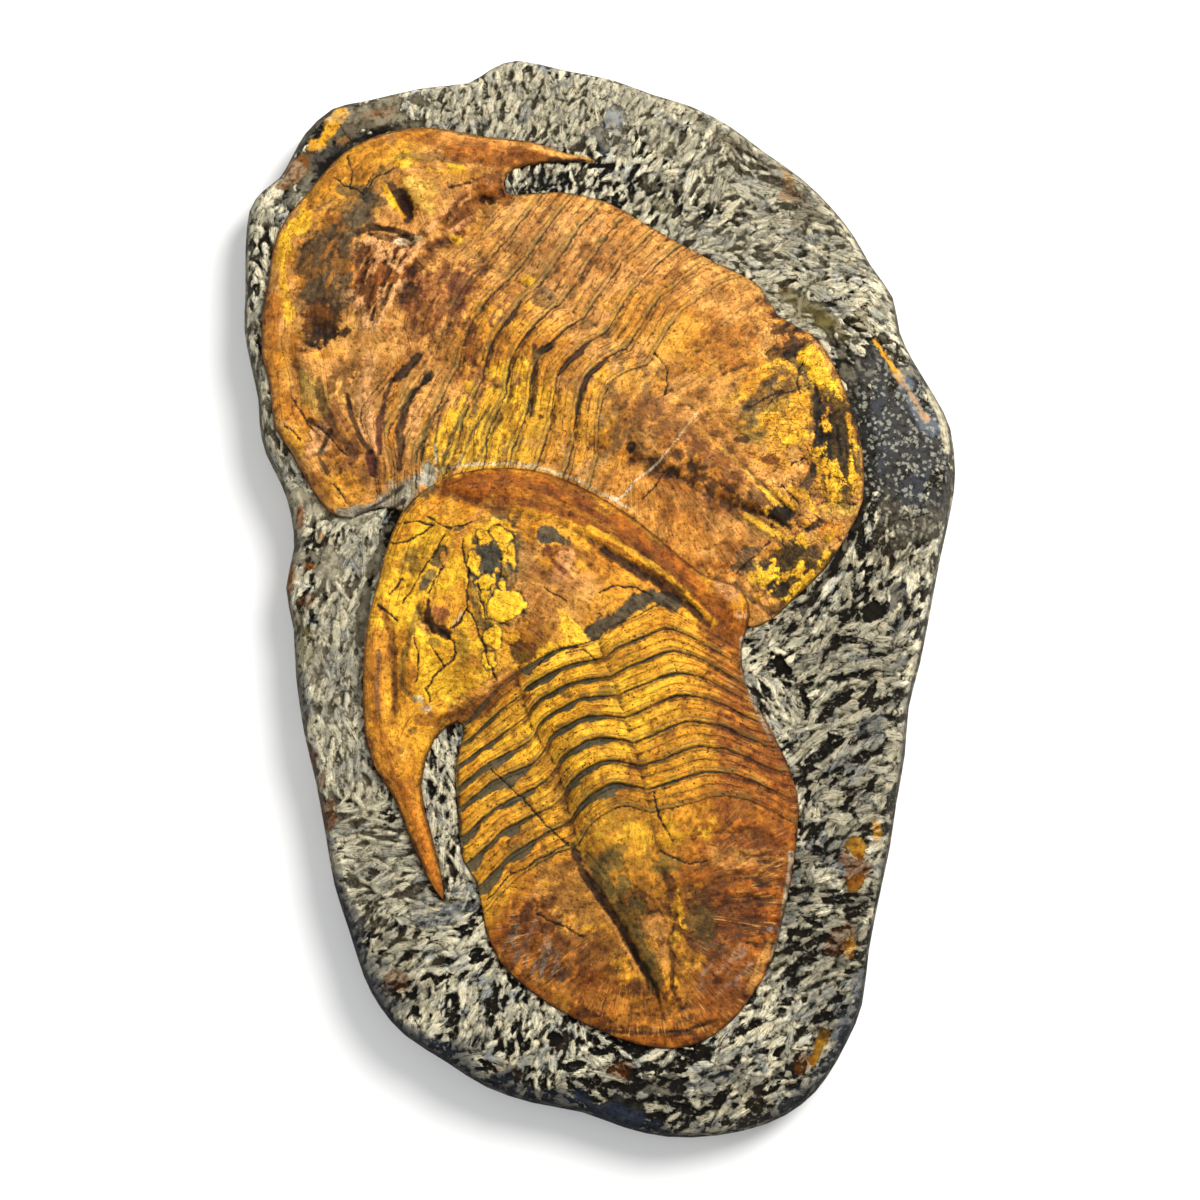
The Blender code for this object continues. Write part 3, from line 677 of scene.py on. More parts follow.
# Colours as they look, each from 0 to 255
PALETTE = {
    "yellow": (252, 196, 40), "gold": (228, 162, 38), "straw": (238, 192, 82),
    "orange": (208, 137, 38), "deep_orange": (172, 98, 14), "rust": (132, 74, 14),
    "brown": (72, 43, 12), "red_brown": (140, 78, 34), "maroon": (96, 44, 30),
    "pink": (220, 164, 104), "tan": (208, 150, 72), "olive": (100, 88, 38),
    "slate": (72, 68, 54), "patina": (88, 70, 44), "black": (18, 15, 10),
    "cream": (226, 214, 180), "pale": (188, 188, 172), "grey": (140, 142, 134),
    "beige": (176, 166, 138), "blue_grey": (118, 130, 144), "steel": (58, 68, 82),
    "rock": (42, 36, 25), "dark_rock": (24, 21, 16), "slate_blue": (62, 61, 60),
    "navy": (34, 42, 58), "mud": (98, 88, 68), "chalk": (226, 218, 188),
    "stone_grey": (156, 154, 138), "gap": (76, 72, 52), "umber": (66, 42, 26),
    "ochre": (222, 160, 78),
}

# How painted shapes end: where their edge starts and stops, and how ragged it is
RAGGED_SEED = 101
WOBBLE_SEEDS = (171, 181)
WOBBLE = 0.7
PATCH_EDGE = (1.12, 0.9)
PATCH_RAGGED = 0.8
STRIPE_EDGE = (1.2, 0.75)
STRIPE_RAGGED = 0.7
CRACK_REACH = 3.0
CRACK_EDGE = 0.5
PEBBLE_JOINT = 0.6
JOINT_EDGE = 0.4
JOINT_RAGGED = 0.3
JOINT_RISE = -0.2
PEBBLE_EDGE = 0.2
PEBBLE_RISE = 0.6
PEBBLE_WOBBLE = 1.5
CRUMBS_EDGE = (1.3, 0.75)
CRUMBS_RAGGED = 0.3
CRUMBS_SEED = 151
CRUMBS_SEED_STEP = 7
FLAKE_EDGE = (0.0, 0.1)
FLAKE_LIGHT = (0.04, 0.3)


def linear(name):
    """A palette colour as the shader takes it."""
    share = np.array(PALETTE[name]) / 255
    return np.where(share <= 0.04045, share / 12.92, ((share + 0.055) / 1.055) ** 2.4)


class Paint:
    """Colours, small rises and cracks gathered for the places on one surface."""

    def __init__(self, points, base):
        self.points = points
        self.colours = np.tile(linear(base), (len(points), 1))
        self.rise = np.zeros(len(points))
        self.crack = np.full(len(points), CRACK_REACH)
        self.cover = np.zeros(len(points))
        self.ragged = cloud(points, 6.0, RAGGED_SEED, octaves=5, roughness=0.68)
        self.wobble = np.column_stack([WOBBLE * cloud(points, 4.0, seed, octaves=3) for seed in WOBBLE_SEEDS])

    def near(self, spots, reach):
        """Which points can be touched by something that reaches a little beyond its spots."""
        spots = np.atleast_2d(np.array(spots, float))
        low = spots.min(axis=0) - reach
        high = spots.max(axis=0) + reach
        return np.flatnonzero(np.all((self.points > low) & (self.points < high), axis=1))

    def wash(self, name, mask, rise=0.0, chosen=slice(None)):
        """Mixes a colour in by a mask, and raises or lowers the surface there."""
        colours = self.colours[chosen]
        self.colours[chosen] = colours + (linear(name) - colours) * mask[:, None]
        self.rise[chosen] += rise * mask
        self.cover[chosen] += (1 - self.cover[chosen]) * mask

    def patches(self, rows):
        """Ragged ovals: colour, x, y, half length, half width, turn, strength, and rise if any."""
        for name, x, y, length, width, turn, strength, *rise in rows:
            chosen = self.near((x, y), max(length, width) * 1.7)
            rim = oval(self.points[chosen], x, y, length, width, turn)
            mask = smoothstep(*PATCH_EDGE, rim + PATCH_RAGGED * self.ragged[chosen])
            self.wash(name, strength * mask, *rise, chosen=chosen)

    def stripes(self, rows):
        """Ragged lines: colour, points, half width, strength, and rise if any."""
        for name, line, width, strength, *rise in rows:
            chosen = self.near(line, width * 2)
            reach = distance(self.points[chosen], line) / width
            mask = smoothstep(*STRIPE_EDGE, reach + STRIPE_RAGGED * self.ragged[chosen])
            self.wash(name, strength * mask, *rise, chosen=chosen)

    def pebbles(self, light, dark, rows):
        """Raised flakes with a dark joint around each: x, y, half length, half width, turn."""
        for x, y, length, width, turn in rows:
            chosen = self.near((x, y), max(length, width) * 1.7 + PEBBLE_JOINT)
            points = self.points[chosen] + PEBBLE_WOBBLE * self.wobble[chosen]
            rim = (oval(points, x, y, length, width, turn) - 1) * min(length, width)
            joint = rim + JOINT_RAGGED * self.ragged[chosen]
            self.wash(dark, smoothstep(PEBBLE_JOINT, PEBBLE_JOINT - JOINT_EDGE, joint), JOINT_RISE, chosen)
            self.wash(light, smoothstep(PEBBLE_EDGE, -PEBBLE_EDGE, rim), PEBBLE_RISE, chosen)

    def crumbs(self, rows):
        """Broken flakes on a darker ground: both colours, x, y, half length, half width, turn,
        size, direction and stretch of the flakes, strength, rise."""
        for index, row in enumerate(rows):
            dark, light, x, y, length, width, turn, size, run, stretch, strength, rise = row
            chosen = self.near((x, y), max(length, width) * 1.5)
            points = self.points[chosen]
            rim = oval(points, x, y, length, width, turn)
            zone = strength * smoothstep(*CRUMBS_EDGE, rim + CRUMBS_RAGGED * self.ragged[chosen])
            cos, sin = math.cos(math.radians(run)), math.sin(math.radians(run))
            turned = points @ np.array(((cos, -sin), (sin, cos)))
            seed = CRUMBS_SEED + CRUMBS_SEED_STEP * index
            flakes = cloud(turned / (stretch, 1.0), size, seed, octaves=4, roughness=0.6)
            self.wash(dark, zone * (1 - smoothstep(*FLAKE_EDGE, flakes)), -rise / 2, chosen)
            self.wash(light, zone * smoothstep(*FLAKE_LIGHT, flakes), rise / 2, chosen)

    def cracks(self, lines, half_width, depth):
        """Dark cracks along lines, which the material draws from their distance."""
        for line in lines:
            chosen = self.near(line, CRACK_REACH)
            gap = distance(self.points[chosen] + self.wobble[chosen], line) - half_width
            self.crack[chosen] = np.minimum(self.crack[chosen], gap)
            self.rise[chosen] -= depth * smoothstep(CRACK_EDGE, 0.0, gap)


UPPER_PATCHES = (
    # Ground colours of the large regions
    ("gold", -83, 150, 22, 9, 30, 0.85), ("tan", -30, 122, 34, 13, -38, 0.5),
    ("orange", 0, 112, 30, 12, -36, 0.4), ("pink", -4, 116, 36, 14, -38, 0.35),
    ("red_brown", -56, 100, 15, 12, 40, 0.62), ("red_brown", -84, 54, 12, 13, 60, 0.6),
    ("gold", -24, 88, 22, 11, -35, 0.6), ("yellow", -40, 56, 21, 13, 35, 0.75),
    ("gold", -10, 60, 16, 12, 60, 0.6), ("tan", -73, 68, 14, 8, 62, 0.55),
    ("orange", 22, 30, 32, 10, -38, 0.6), ("red_brown", 30, 52, 26, 8, -36, 0.5),
    ("orange", 42, 86, 24, 9, -30, 0.5), ("gold", 62, 60, 16, 15, 0, 0.7),
    ("deep_orange", 44, 22, 28, 12, -36, 0.4), ("gold", 18, 95, 14, 10, -40, 0.5),
    # Head
    ("yellow", -102.5, 130, 6.5, 3.6, 15, 0.95, 0.2), ("gold", -107, 120, 4, 9, 0, 0.8),
    ("patina", -92, 115, 15, 10.5, 80, 0.5, -0.3), ("slate", -86, 127, 8, 5, 20, 0.5, -0.2),
    ("patina", -94, 102, 10, 5, 10, 0.55), ("slate", -97, 108, 4, 6, 0, 0.4),
    ("patina", -84, 134, 8, 4, -20, 0.5), ("orange", -93, 132, 4, 3, 0, 0.6),
    ("straw", -60, 139, 6.5, 5, -60, 0.8, 0.3), ("gold", -50, 147, 10, 4, -10, 0.6),
    ("yellow", -50, 148.5, 3.2, 2.2, 0, 0.8, 0.15), ("yellow", -66, 152, 4, 3, 0, 0.6, 0.1),
    ("slate", -44, 157.6, 6, 1.3, -8, 0.6), ("patina", -52, 152.5, 14, 1.6, -4, 0.6),
    ("rust", -38, 141.5, 6.5, 5, 0, 0.85, -0.3), ("deep_orange", -46, 131, 6, 3.5, 50, 0.8, -0.2),
    ("brown", -55, 122, 4.5, 2.4, 30, 0.8, -0.3), ("yellow", -49.5, 124.3, 3.2, 1.3, -38, 1, 0.5),
    ("brown", -72, 124, 9, 2, -8, 0.75, -0.6), ("rust", -74, 112, 13, 10, 60, 0.55, -0.4),
    ("brown", -71, 115.5, 6, 1.4, 0, 0.8, -0.4), ("rust", -60, 115, 6, 3, 40, 0.7, -0.3),
    ("brown", -65, 105, 4.5, 3.5, 0, 0.65, -0.4), ("brown", -83, 105, 4.5, 3.5, 20, 0.7, -0.4),
    ("brown", -75, 100, 2, 4, -20, 0.6, -0.3), ("pink", -78, 123.5, 2.6, 1.6, -10, 0.9, 0.6),
    ("cream", -68, 122.5, 2.4, 1.5, 0, 0.85, 0.6), ("cream", -62.5, 123.3, 2.6, 1.2, -5, 0.85, 0.5),
    ("pink", -73.5, 121, 1.8, 1.2, 0, 0.85, 0.5), ("pink", -75, 117.5, 1.6, 1.2, 0, 0.8, 0.5),
    ("pink", -84, 105, 2.4, 1.4, 30, 0.7, 0.4), ("pink", -77, 96, 3, 3.6, 20, 0.6, 0.3),
    ("brown", -95, 94.5, 10, 7.5, 12, 0.8), ("rust", -96, 96, 6, 5, 12, 0.5),
    ("brown", -93, 91.5, 7, 4.5, 12, 0.9, -0.2), ("black", -91.5, 91, 4, 1.8, 15, 0.7, -0.3),
    ("black", -94, 88.8, 4, 1.8, 10, 0.7, -0.3), ("gold", -92, 84, 6, 2, 10, 0.5, 0.2),
    ("gold", -104, 93, 3, 6, 10, 0.5), ("black", -39, 139.2, 2.4, 1.4, 10, 1, -1),
    ("gold", -108, 84, 4, 4, 0, 0.5), ("straw", -97, 72, 5, 8, 10, 0.5), ("olive", -100, 75, 3, 7, 10, 0.5),
    ("orange", -104, 64.5, 9, 3.5, -32, 0.9, 0.3), ("gold", -103.5, 55.5, 7, 5.5, -45, 0.9),
    ("olive", -104, 53, 5, 1.5, -45, 0.5), ("pink", -95, 54.5, 6, 3.6, 55, 1, 0.7),
    ("cream", -94, 51.5, 1.5, 1, 0, 0.9, 0.2), ("orange", -95, 40, 5, 4, 0, 0.6),
    ("gold", -86, 38, 10, 5, -10, 0.6), ("rust", -96, 43, 3, 3, 0, 0.6),
    # Segments
    ("maroon", -47, 107, 5, 4, 60, 0.6, -0.2), ("maroon", -48, 97, 4, 3, 60, 0.45),
    ("maroon", -40, 114, 2, 3, 0, 0.5), ("slate", -19, 103, 3.2, 3, 0, 0.6, -0.2),
    ("slate", -4, 93.5, 2.6, 1.6, 0, 0.5), ("yellow", -24, 109.5, 2, 1.4, 0, 0.9, 0.2),
    ("black", -18.3, 85, 2.6, 1.2, 25, 0.95, -0.8), ("black", 10.5, 52, 1.3, 1.3, 0, 0.9, -0.4),
    ("yellow", -43, 72, 2.6, 1.8, -50, 0.8, 0.2), ("rust", -62, 83, 4, 3, 40, 0.5),
    # Tail shield
    ("rust", 66, 97, 10, 3.2, -25, 0.7, -0.2), ("pink", 70, 95, 8, 2, -38, 0.6, 0.3),
    ("brown", 62, 93, 5, 2.4, 20, 0.85, -0.5), ("brown", 62, 85.5, 9, 2.6, 18, 0.85, -0.5),
    ("black", 66, 85.5, 4, 1.8, 20, 0.7, -0.3), ("brown", 46, 79, 6, 0.8, 25, 0.7, -0.2),
    ("olive", 52, 57, 5, 5.5, 60, 0.65), ("slate", 50, 66, 3, 1.6, 40, 0.6, -0.2),
    ("yellow", 66, 55, 7, 2.2, 15, 0.85, 0.3), ("yellow", 61, 66, 7, 1.6, 22, 0.6, 0.2),
    ("yellow", 69, 78, 3.6, 5, 0, 0.6, 0.2), ("yellow", 60, 80, 6, 2, 25, 0.5, 0.2),
    ("rust", 57, 48, 2.6, 1.9, 0, 0.95, -0.2), ("brown", 47.5, 54.5, 3.4, 1.3, 5, 0.85, -0.4),
    ("red_brown", 63, 75, 5, 3, 20, 0.45), ("rust", 77, 62, 3, 5, 0, 0.75, -0.2),
    ("rust", 74, 72, 2.4, 3, 0, 0.7, -0.2), ("straw", 79, 31.5, 6, 2.6, 8, 0.95, 0.4),
    ("slate", 73, 36, 3, 2, 0, 0.5), ("black", 72, 26, 4.4, 2.2, 30, 0.85, -0.4),
    ("orange", 77, 24.5, 4, 2.6, 20, 0.9, 0.2), ("deep_orange", 76, 26.5, 1.6, 1.1, 0, 0.9, 0.2),
    ("yellow", 69, 27, 2, 2, 0, 0.8, 0.1), ("brown", 76, 14, 4, 2, 50, 0.7),
    ("yellow", 65, 12.5, 10, 7.5, 38, 1, 0.4), ("slate", 51.5, 14, 6.5, 4.5, 20, 0.8, -0.3),
    ("orange", 57, 17, 5, 2, 20, 0.8, 0.1), ("brown", 59, 4.5, 3.2, 2.4, 0, 0.7, -0.3),
    ("yellow", 52.5, 8, 3, 2.2, 0, 0.8, 0.2), ("gold", 52.5, 1, 1.9, 1.6, 0, 1, 0.4),
    ("olive", 56, 24, 9, 2.6, -20, 0.5), ("black", 61.5, 29, 7, 4, -28, 0.97, -0.6),
    ("brown", 20, 45.5, 5, 3, -10, 0.65, -0.2), ("brown", 33, 45, 8, 2, -30, 0.6, -0.2),
    ("rust", 42, 42, 12, 4, -38, 0.6), ("pink", 36, 37, 3, 3, 0, 0.4, 0.1),
    ("tan", 40, 24, 7, 4, -50, 0.7, 0.1), ("red_brown", -8, 38, 4, 3, 0, 0.4),
)

UPPER_CRUMBS = (
    ("brown", "pink", -73, 111, 17, 13, 60, 2.4, 62, 3, 0.85, 0.6),
    ("maroon", "tan", -53, 101, 17, 14, 50, 2.2, 60, 1.6, 0.7, 0.4),
    ("maroon", "gold", -36, 82, 17, 11, -40, 2.2, 62, 3, 0.6, 0.4),
    ("brown", "ochre", -80, 72, 12, 14, 60, 2, 75, 3, 0.6, 0.3),
    ("red_brown", "gold", -36, 90, 16, 14, 50, 2.6, 60, 1.6, 0.7, 0.4),
    ("brown", "gold", -85, 50, 10, 14, 40, 3.6, 65, 2, 0.6, 0.4),
    ("slate", "gold", -86, 140, 22, 12, 40, 5, 40, 2, 0.5, 0.2),
    ("slate", "orange", -92, 113, 19, 14, 80, 2, 60, 2, 0.75, 0.2),
    ("slate", "yellow", 61, 66, 16, 17, 0, 4.4, 20, 1.6, 0.8, 0.4),
    ("brown", "yellow", 58, 32, 12, 6, -38, 3, -38, 2, 0.75, 0.3),
    ("slate", "gold", 2, 66, 24, 18, 60, 3, 60, 2.2, 0.5, 0.3),
    ("slate", "yellow", -40, 57, 22, 13, 30, 1.7, 78, 5, 0.7, 0.3),
    ("rust", "gold", 34, 88, 26, 10, -30, 2.6, 30, 3, 0.45, 0.3),
    ("slate", "gold", -22, 122, 36, 13, -38, 1.8, 62, 5, 0.42, 0.25),
    ("brown", "tan", 32, 44, 28, 10, -38, 3, -38, 2.5, 0.6, 0.3),
)

# Flakes that lie over everything else
UPPER_FLAKES = (
    ("rust", "pink", -74, 110, 13, 8, 62, 2.2, 62, 2.6, 0.85, 0.8),
    ("rust", "pink", -47, 134, 11, 4, 50, 1.6, 45, 4, 0.8, 0.6),
    ("black", "yellow", 79, 54, 21, 8, -82, 2.6, -80, 2, 0.92, 0.5),
    ("black", "yellow", 64, 12, 13, 8, 38, 3.4, 50, 1.5, 0.9, 0.5),
    ("slate", "gold", 58, 68, 12, 12, 0, 3, 30, 2.2, 0.55, 0.3),
    ("brown", "orange", 34, 42, 22, 6, -36, 2, 50, 1.5, 0.55, 0.3),
    ("brown", "gold", 68, 96, 12, 4, -30, 1.6, 35, 3, 0.7, 0.3),
)

UPPER_STRIPES = (
    ("yellow", ((-106, 127), (-108, 118), (-107.5, 108), (-105.5, 98)), 2.2, 0.75, 0.1),
    ("orange", ((-111, 104), (-112.5, 92), (-110, 78), (-106, 67)), 3.4, 0.95),
    ("deep_orange", ((-104, 92), (-104, 84), (-102, 72)), 1.2, 0.5, -0.1),
    ("gold", ((-107, 92), (-107.5, 84), (-105.5, 74)), 0.9, 0.7, 0.1),
    ("brown", ((-82, 126), (-77, 128), (-70, 127), (-64, 124.5)), 1.2, 0.85, -0.5),
    ("slate", ((-88, 142), (-83, 141), (-78, 138), (-74, 136)), 1.7, 0.7, -0.3),
    ("slate", ((-74, 149), (-78, 143), (-79.5, 138)), 1.3, 0.65, -0.2),
    ("slate", ((-79, 139), (-83, 131)), 3, 0.5, -0.2),
    ("brown", ((-71.5, 142), (-68.5, 139.5), (-66, 135), (-65, 131.5)), 2.3, 0.95, -0.5),
    ("maroon", ((-67, 138), (-65.2, 134), (-65, 132.5)), 1.1, 0.9, -0.2),
    ("yellow", ((-73, 142.5), (-70.5, 136.5), (-66.5, 131.5)), 0.9, 0.85, 0.3),
    ("deep_orange", ((-66, 161), (-52, 159), (-38, 157), (-24, 154.5)), 2, 0.6),
    ("deep_orange", ((-50, 154), (-34, 152), (-20, 152.5)), 2.6, 0.75),
    ("rust", ((-30, 155), (-22, 153.5), (-14, 151.6)), 2.2, 0.8),
    ("brown", ((-17, 152), (-10, 151.2), (-2, 150.6)), 1.6, 0.95),
    ("black", ((-9, 151), (-2, 150.6)), 1, 0.9),
    ("brown", ((-51, 142), (-47.5, 143), (-44.5, 144)), 0.8, 0.9, -0.4),
    ("rust", ((-37, 141), (-45, 133), (-52, 125), (-58, 118)), 3.4, 0.6, -0.3),
    ("pink", ((-42.5, 143.5), (-48, 138), (-54, 131), (-58, 126.5)), 0.9, 0.75, 0.6),
    ("tan", ((-53, 128), (-50, 131), (-46, 137)), 0.8, 0.6, 0.3),
    ("pink", ((-59.5, 123), (-65.5, 117), (-68, 110), (-71, 102), (-75, 94)), 1.1, 0.9, 0.8),
    ("tan", ((-67.5, 119), (-70, 111), (-74, 103), (-76, 97)), 0.7, 0.8, 0.5),
    ("pink", ((-74, 117), (-77, 110), (-80, 101), (-79, 94)), 0.9, 0.75, 0.6),
    ("brown", ((-71.5, 112), (-74.5, 103), (-77, 96)), 0.8, 0.8, -0.6),
    ("brown", ((-95, 76), (-93, 66), (-89, 57), (-83, 51)), 1.5, 0.7, -0.4),
    ("brown", ((-98, 62), (-94, 60), (-90, 56)), 1, 0.75, -0.3),
    ("brown", ((-92, 44), (-95, 50), (-91, 58)), 0.9, 0.8, -0.4),
    ("tan", ((-86, 66), (-81, 57), (-77, 47)), 1.4, 0.5, 0.3),
    ("pink", ((-77, 82), (-80, 74), (-79, 66), (-77.5, 58), (-76, 52)), 2.6, 0.7, 0.3),
    ("tan", ((-70.5, 70), (-71.8, 64), (-72, 57)), 1.2, 0.7, 0.2),
    ("orange", ((-67, 81), (-69, 71), (-70, 60), (-70.5, 48)), 1.3, 0.8, 0.3),
    ("pink", ((-61, 66), (-63.4, 59), (-63.5, 49)), 2.2, 0.6, 0.3),
    ("brown", ((-85, 70), (-84, 64), (-82.5, 60), (-81, 56), (-77.5, 51)), 0.8, 0.9, -0.5),
    ("maroon", ((-77.2, 50), (-76.6, 47), (-76.4, 43)), 1.3, 0.95, -0.5),
    ("maroon", ((-70, 75), (-72.4, 69), (-73.8, 61), (-74.5, 54), (-74, 50)), 1, 0.85, -0.5),
    ("black", ((-61, 83), (-64.5, 79.5), (-69, 75)), 1.3, 0.9, -0.6),
    ("umber", ((-58, 75.5), (-63, 70), (-66, 64), (-67.5, 57), (-67, 50), (-67.5, 45)), 1.1, 0.85, -0.5),
    ("black", ((-57, 76.5), (-60.5, 73), (-63, 70)), 1.2, 0.85, -0.4),
    ("slate", ((-51, 68), (-56, 63), (-59, 57), (-60, 48)), 0.6, 0.8, -0.4),
    ("slate", ((-54, 63), (-55.5, 53), (-54, 44.5)), 0.5, 0.75, -0.4),
    ("slate", ((-44, 66), (-50, 56), (-53, 46)), 0.5, 0.75, -0.4),
    ("slate", ((-37, 66), (-43, 57), (-47, 46.5)), 0.5, 0.7, -0.4),
    ("slate", ((-33, 62), (-38, 54), (-42, 46)), 0.5, 0.65, -0.4),
    ("cream", ((-55.4, 53), (-55, 47)), 0.4, 0.6, 0.1), ("cream", ((-46, 50), (-47.8, 46)), 0.4, 0.6, 0.1),
    ("umber", ((-22, 86), (-21.5, 78), (-22, 70), (-23, 63)), 0.8, 0.75, -0.4),
    ("brown", ((12, 49), (24, 44), (36, 39), (50, 31.5)), 1.6, 0.45, -0.4),
    ("straw", ((34, 57), (44, 48.5), (54, 39), (61, 32.5)), 0.8, 0.6, 0.4),
    ("tan", ((18, 38), (30, 33), (44, 24)), 1.6, 0.5, 0.2),
    ("slate", ((64, 84), (70, 78), (73, 70), (73.5, 60), (73, 50), (72, 44), (68, 38)), 1.5, 0.8, -0.7),
    ("yellow", ((71, 84), (77, 74), (81, 64), (84, 52), (84, 42), (80, 36)), 3.4, 0.9, 0.3),
    ("yellow", ((77, 52), (78, 44), (76, 38)), 2.6, 0.9, 0.3),
    ("slate", ((84, 72), (86.4, 60), (87.2, 48)), 0.8, 0.7),
    ("black", ((76.5, 56), (77.5, 49)), 0.7, 0.9, -0.3), ("black", ((79.8, 60), (81, 50)), 0.6, 0.85, -0.3),
    ("brown", ((74.5, 60), (75, 50), (74, 43)), 0.9, 0.85, -0.4),
    ("black", ((82.5, 55), (83.5, 48)), 0.5, 0.85, -0.3),
    ("yellow", ((49, 28.5), (56, 24.5), (62, 21), (67, 22)), 1.1, 0.85, 0.3),
    ("yellow", ((64, 38), (69, 36), (72, 30)), 1.4, 0.8, 0.2),
    ("brown", ((45, 5.5), (49, 2), (57, -3), (64, 1.5)), 1.2, 0.7, -0.2),
    ("cream", ((5, 34), (8, 35.5), (12, 40.5), (20, 47), (26, 54)), 0.36, 0.85, 0.15),
    ("cream", ((26, 54), (30, 60), (33, 64)), 0.34, 0.5, 0.1),
    ("cream", ((-62, 42), (-53, 44.5), (-45, 46), (-30, 46.6), (-20, 45), (-8, 41), (4, 34.5),
     (10, 31)), 0.5, 0.7), ("pale", ((-86, 28), (-76, 31), (-68, 36), (-58, 43)), 3.6, 0.9, -0.4),
    ("dark_rock", ((-82, 30), (-74, 34), (-66, 39.5)), 0.6, 0.8, -0.3),
    ("dark_rock", ((-80, 27.5), (-72, 31), (-66, 34.5)), 0.7, 0.8, -0.3),
)

UPPER_CRACKS = (
    ((-86.5, 154), (-84, 148), (-85, 142)), ((-77, 147), (-80.5, 140)),
    ((-90, 146), (-85, 142), (-80, 140.5)), ((-70, 149), (-76, 146), (-79, 141)),
    ((73, 33), (79, 33.8), (86.5, 33)), ((60, 14), (62, 18), (61, 22)), ((60, 5), (60.5, 11)),
    ((46, 9), (51, 15), (57, 20)), ((56, 67), (61, 70), (66, 72)), ((50, 66), (55, 69), (62, 71)),
    ((69, 82), (66, 76), (68, 70)), ((61, 39), (67, 33)), ((81, 66), (76, 63)), ((79, 43), (84, 40)),
    ((64, 46), (68, 49), (71, 46)), ((-95, 60), (-91, 55), (-85, 50)), ((-104, 70), (-100, 62), (-96, 58)),
    ((-106, 60), (-101, 55)), ((-90, 40), (-84, 33)), ((18, 84), (23, 78), (22, 70)),
    ((22, 44), (17, 37), (14, 34)),
)

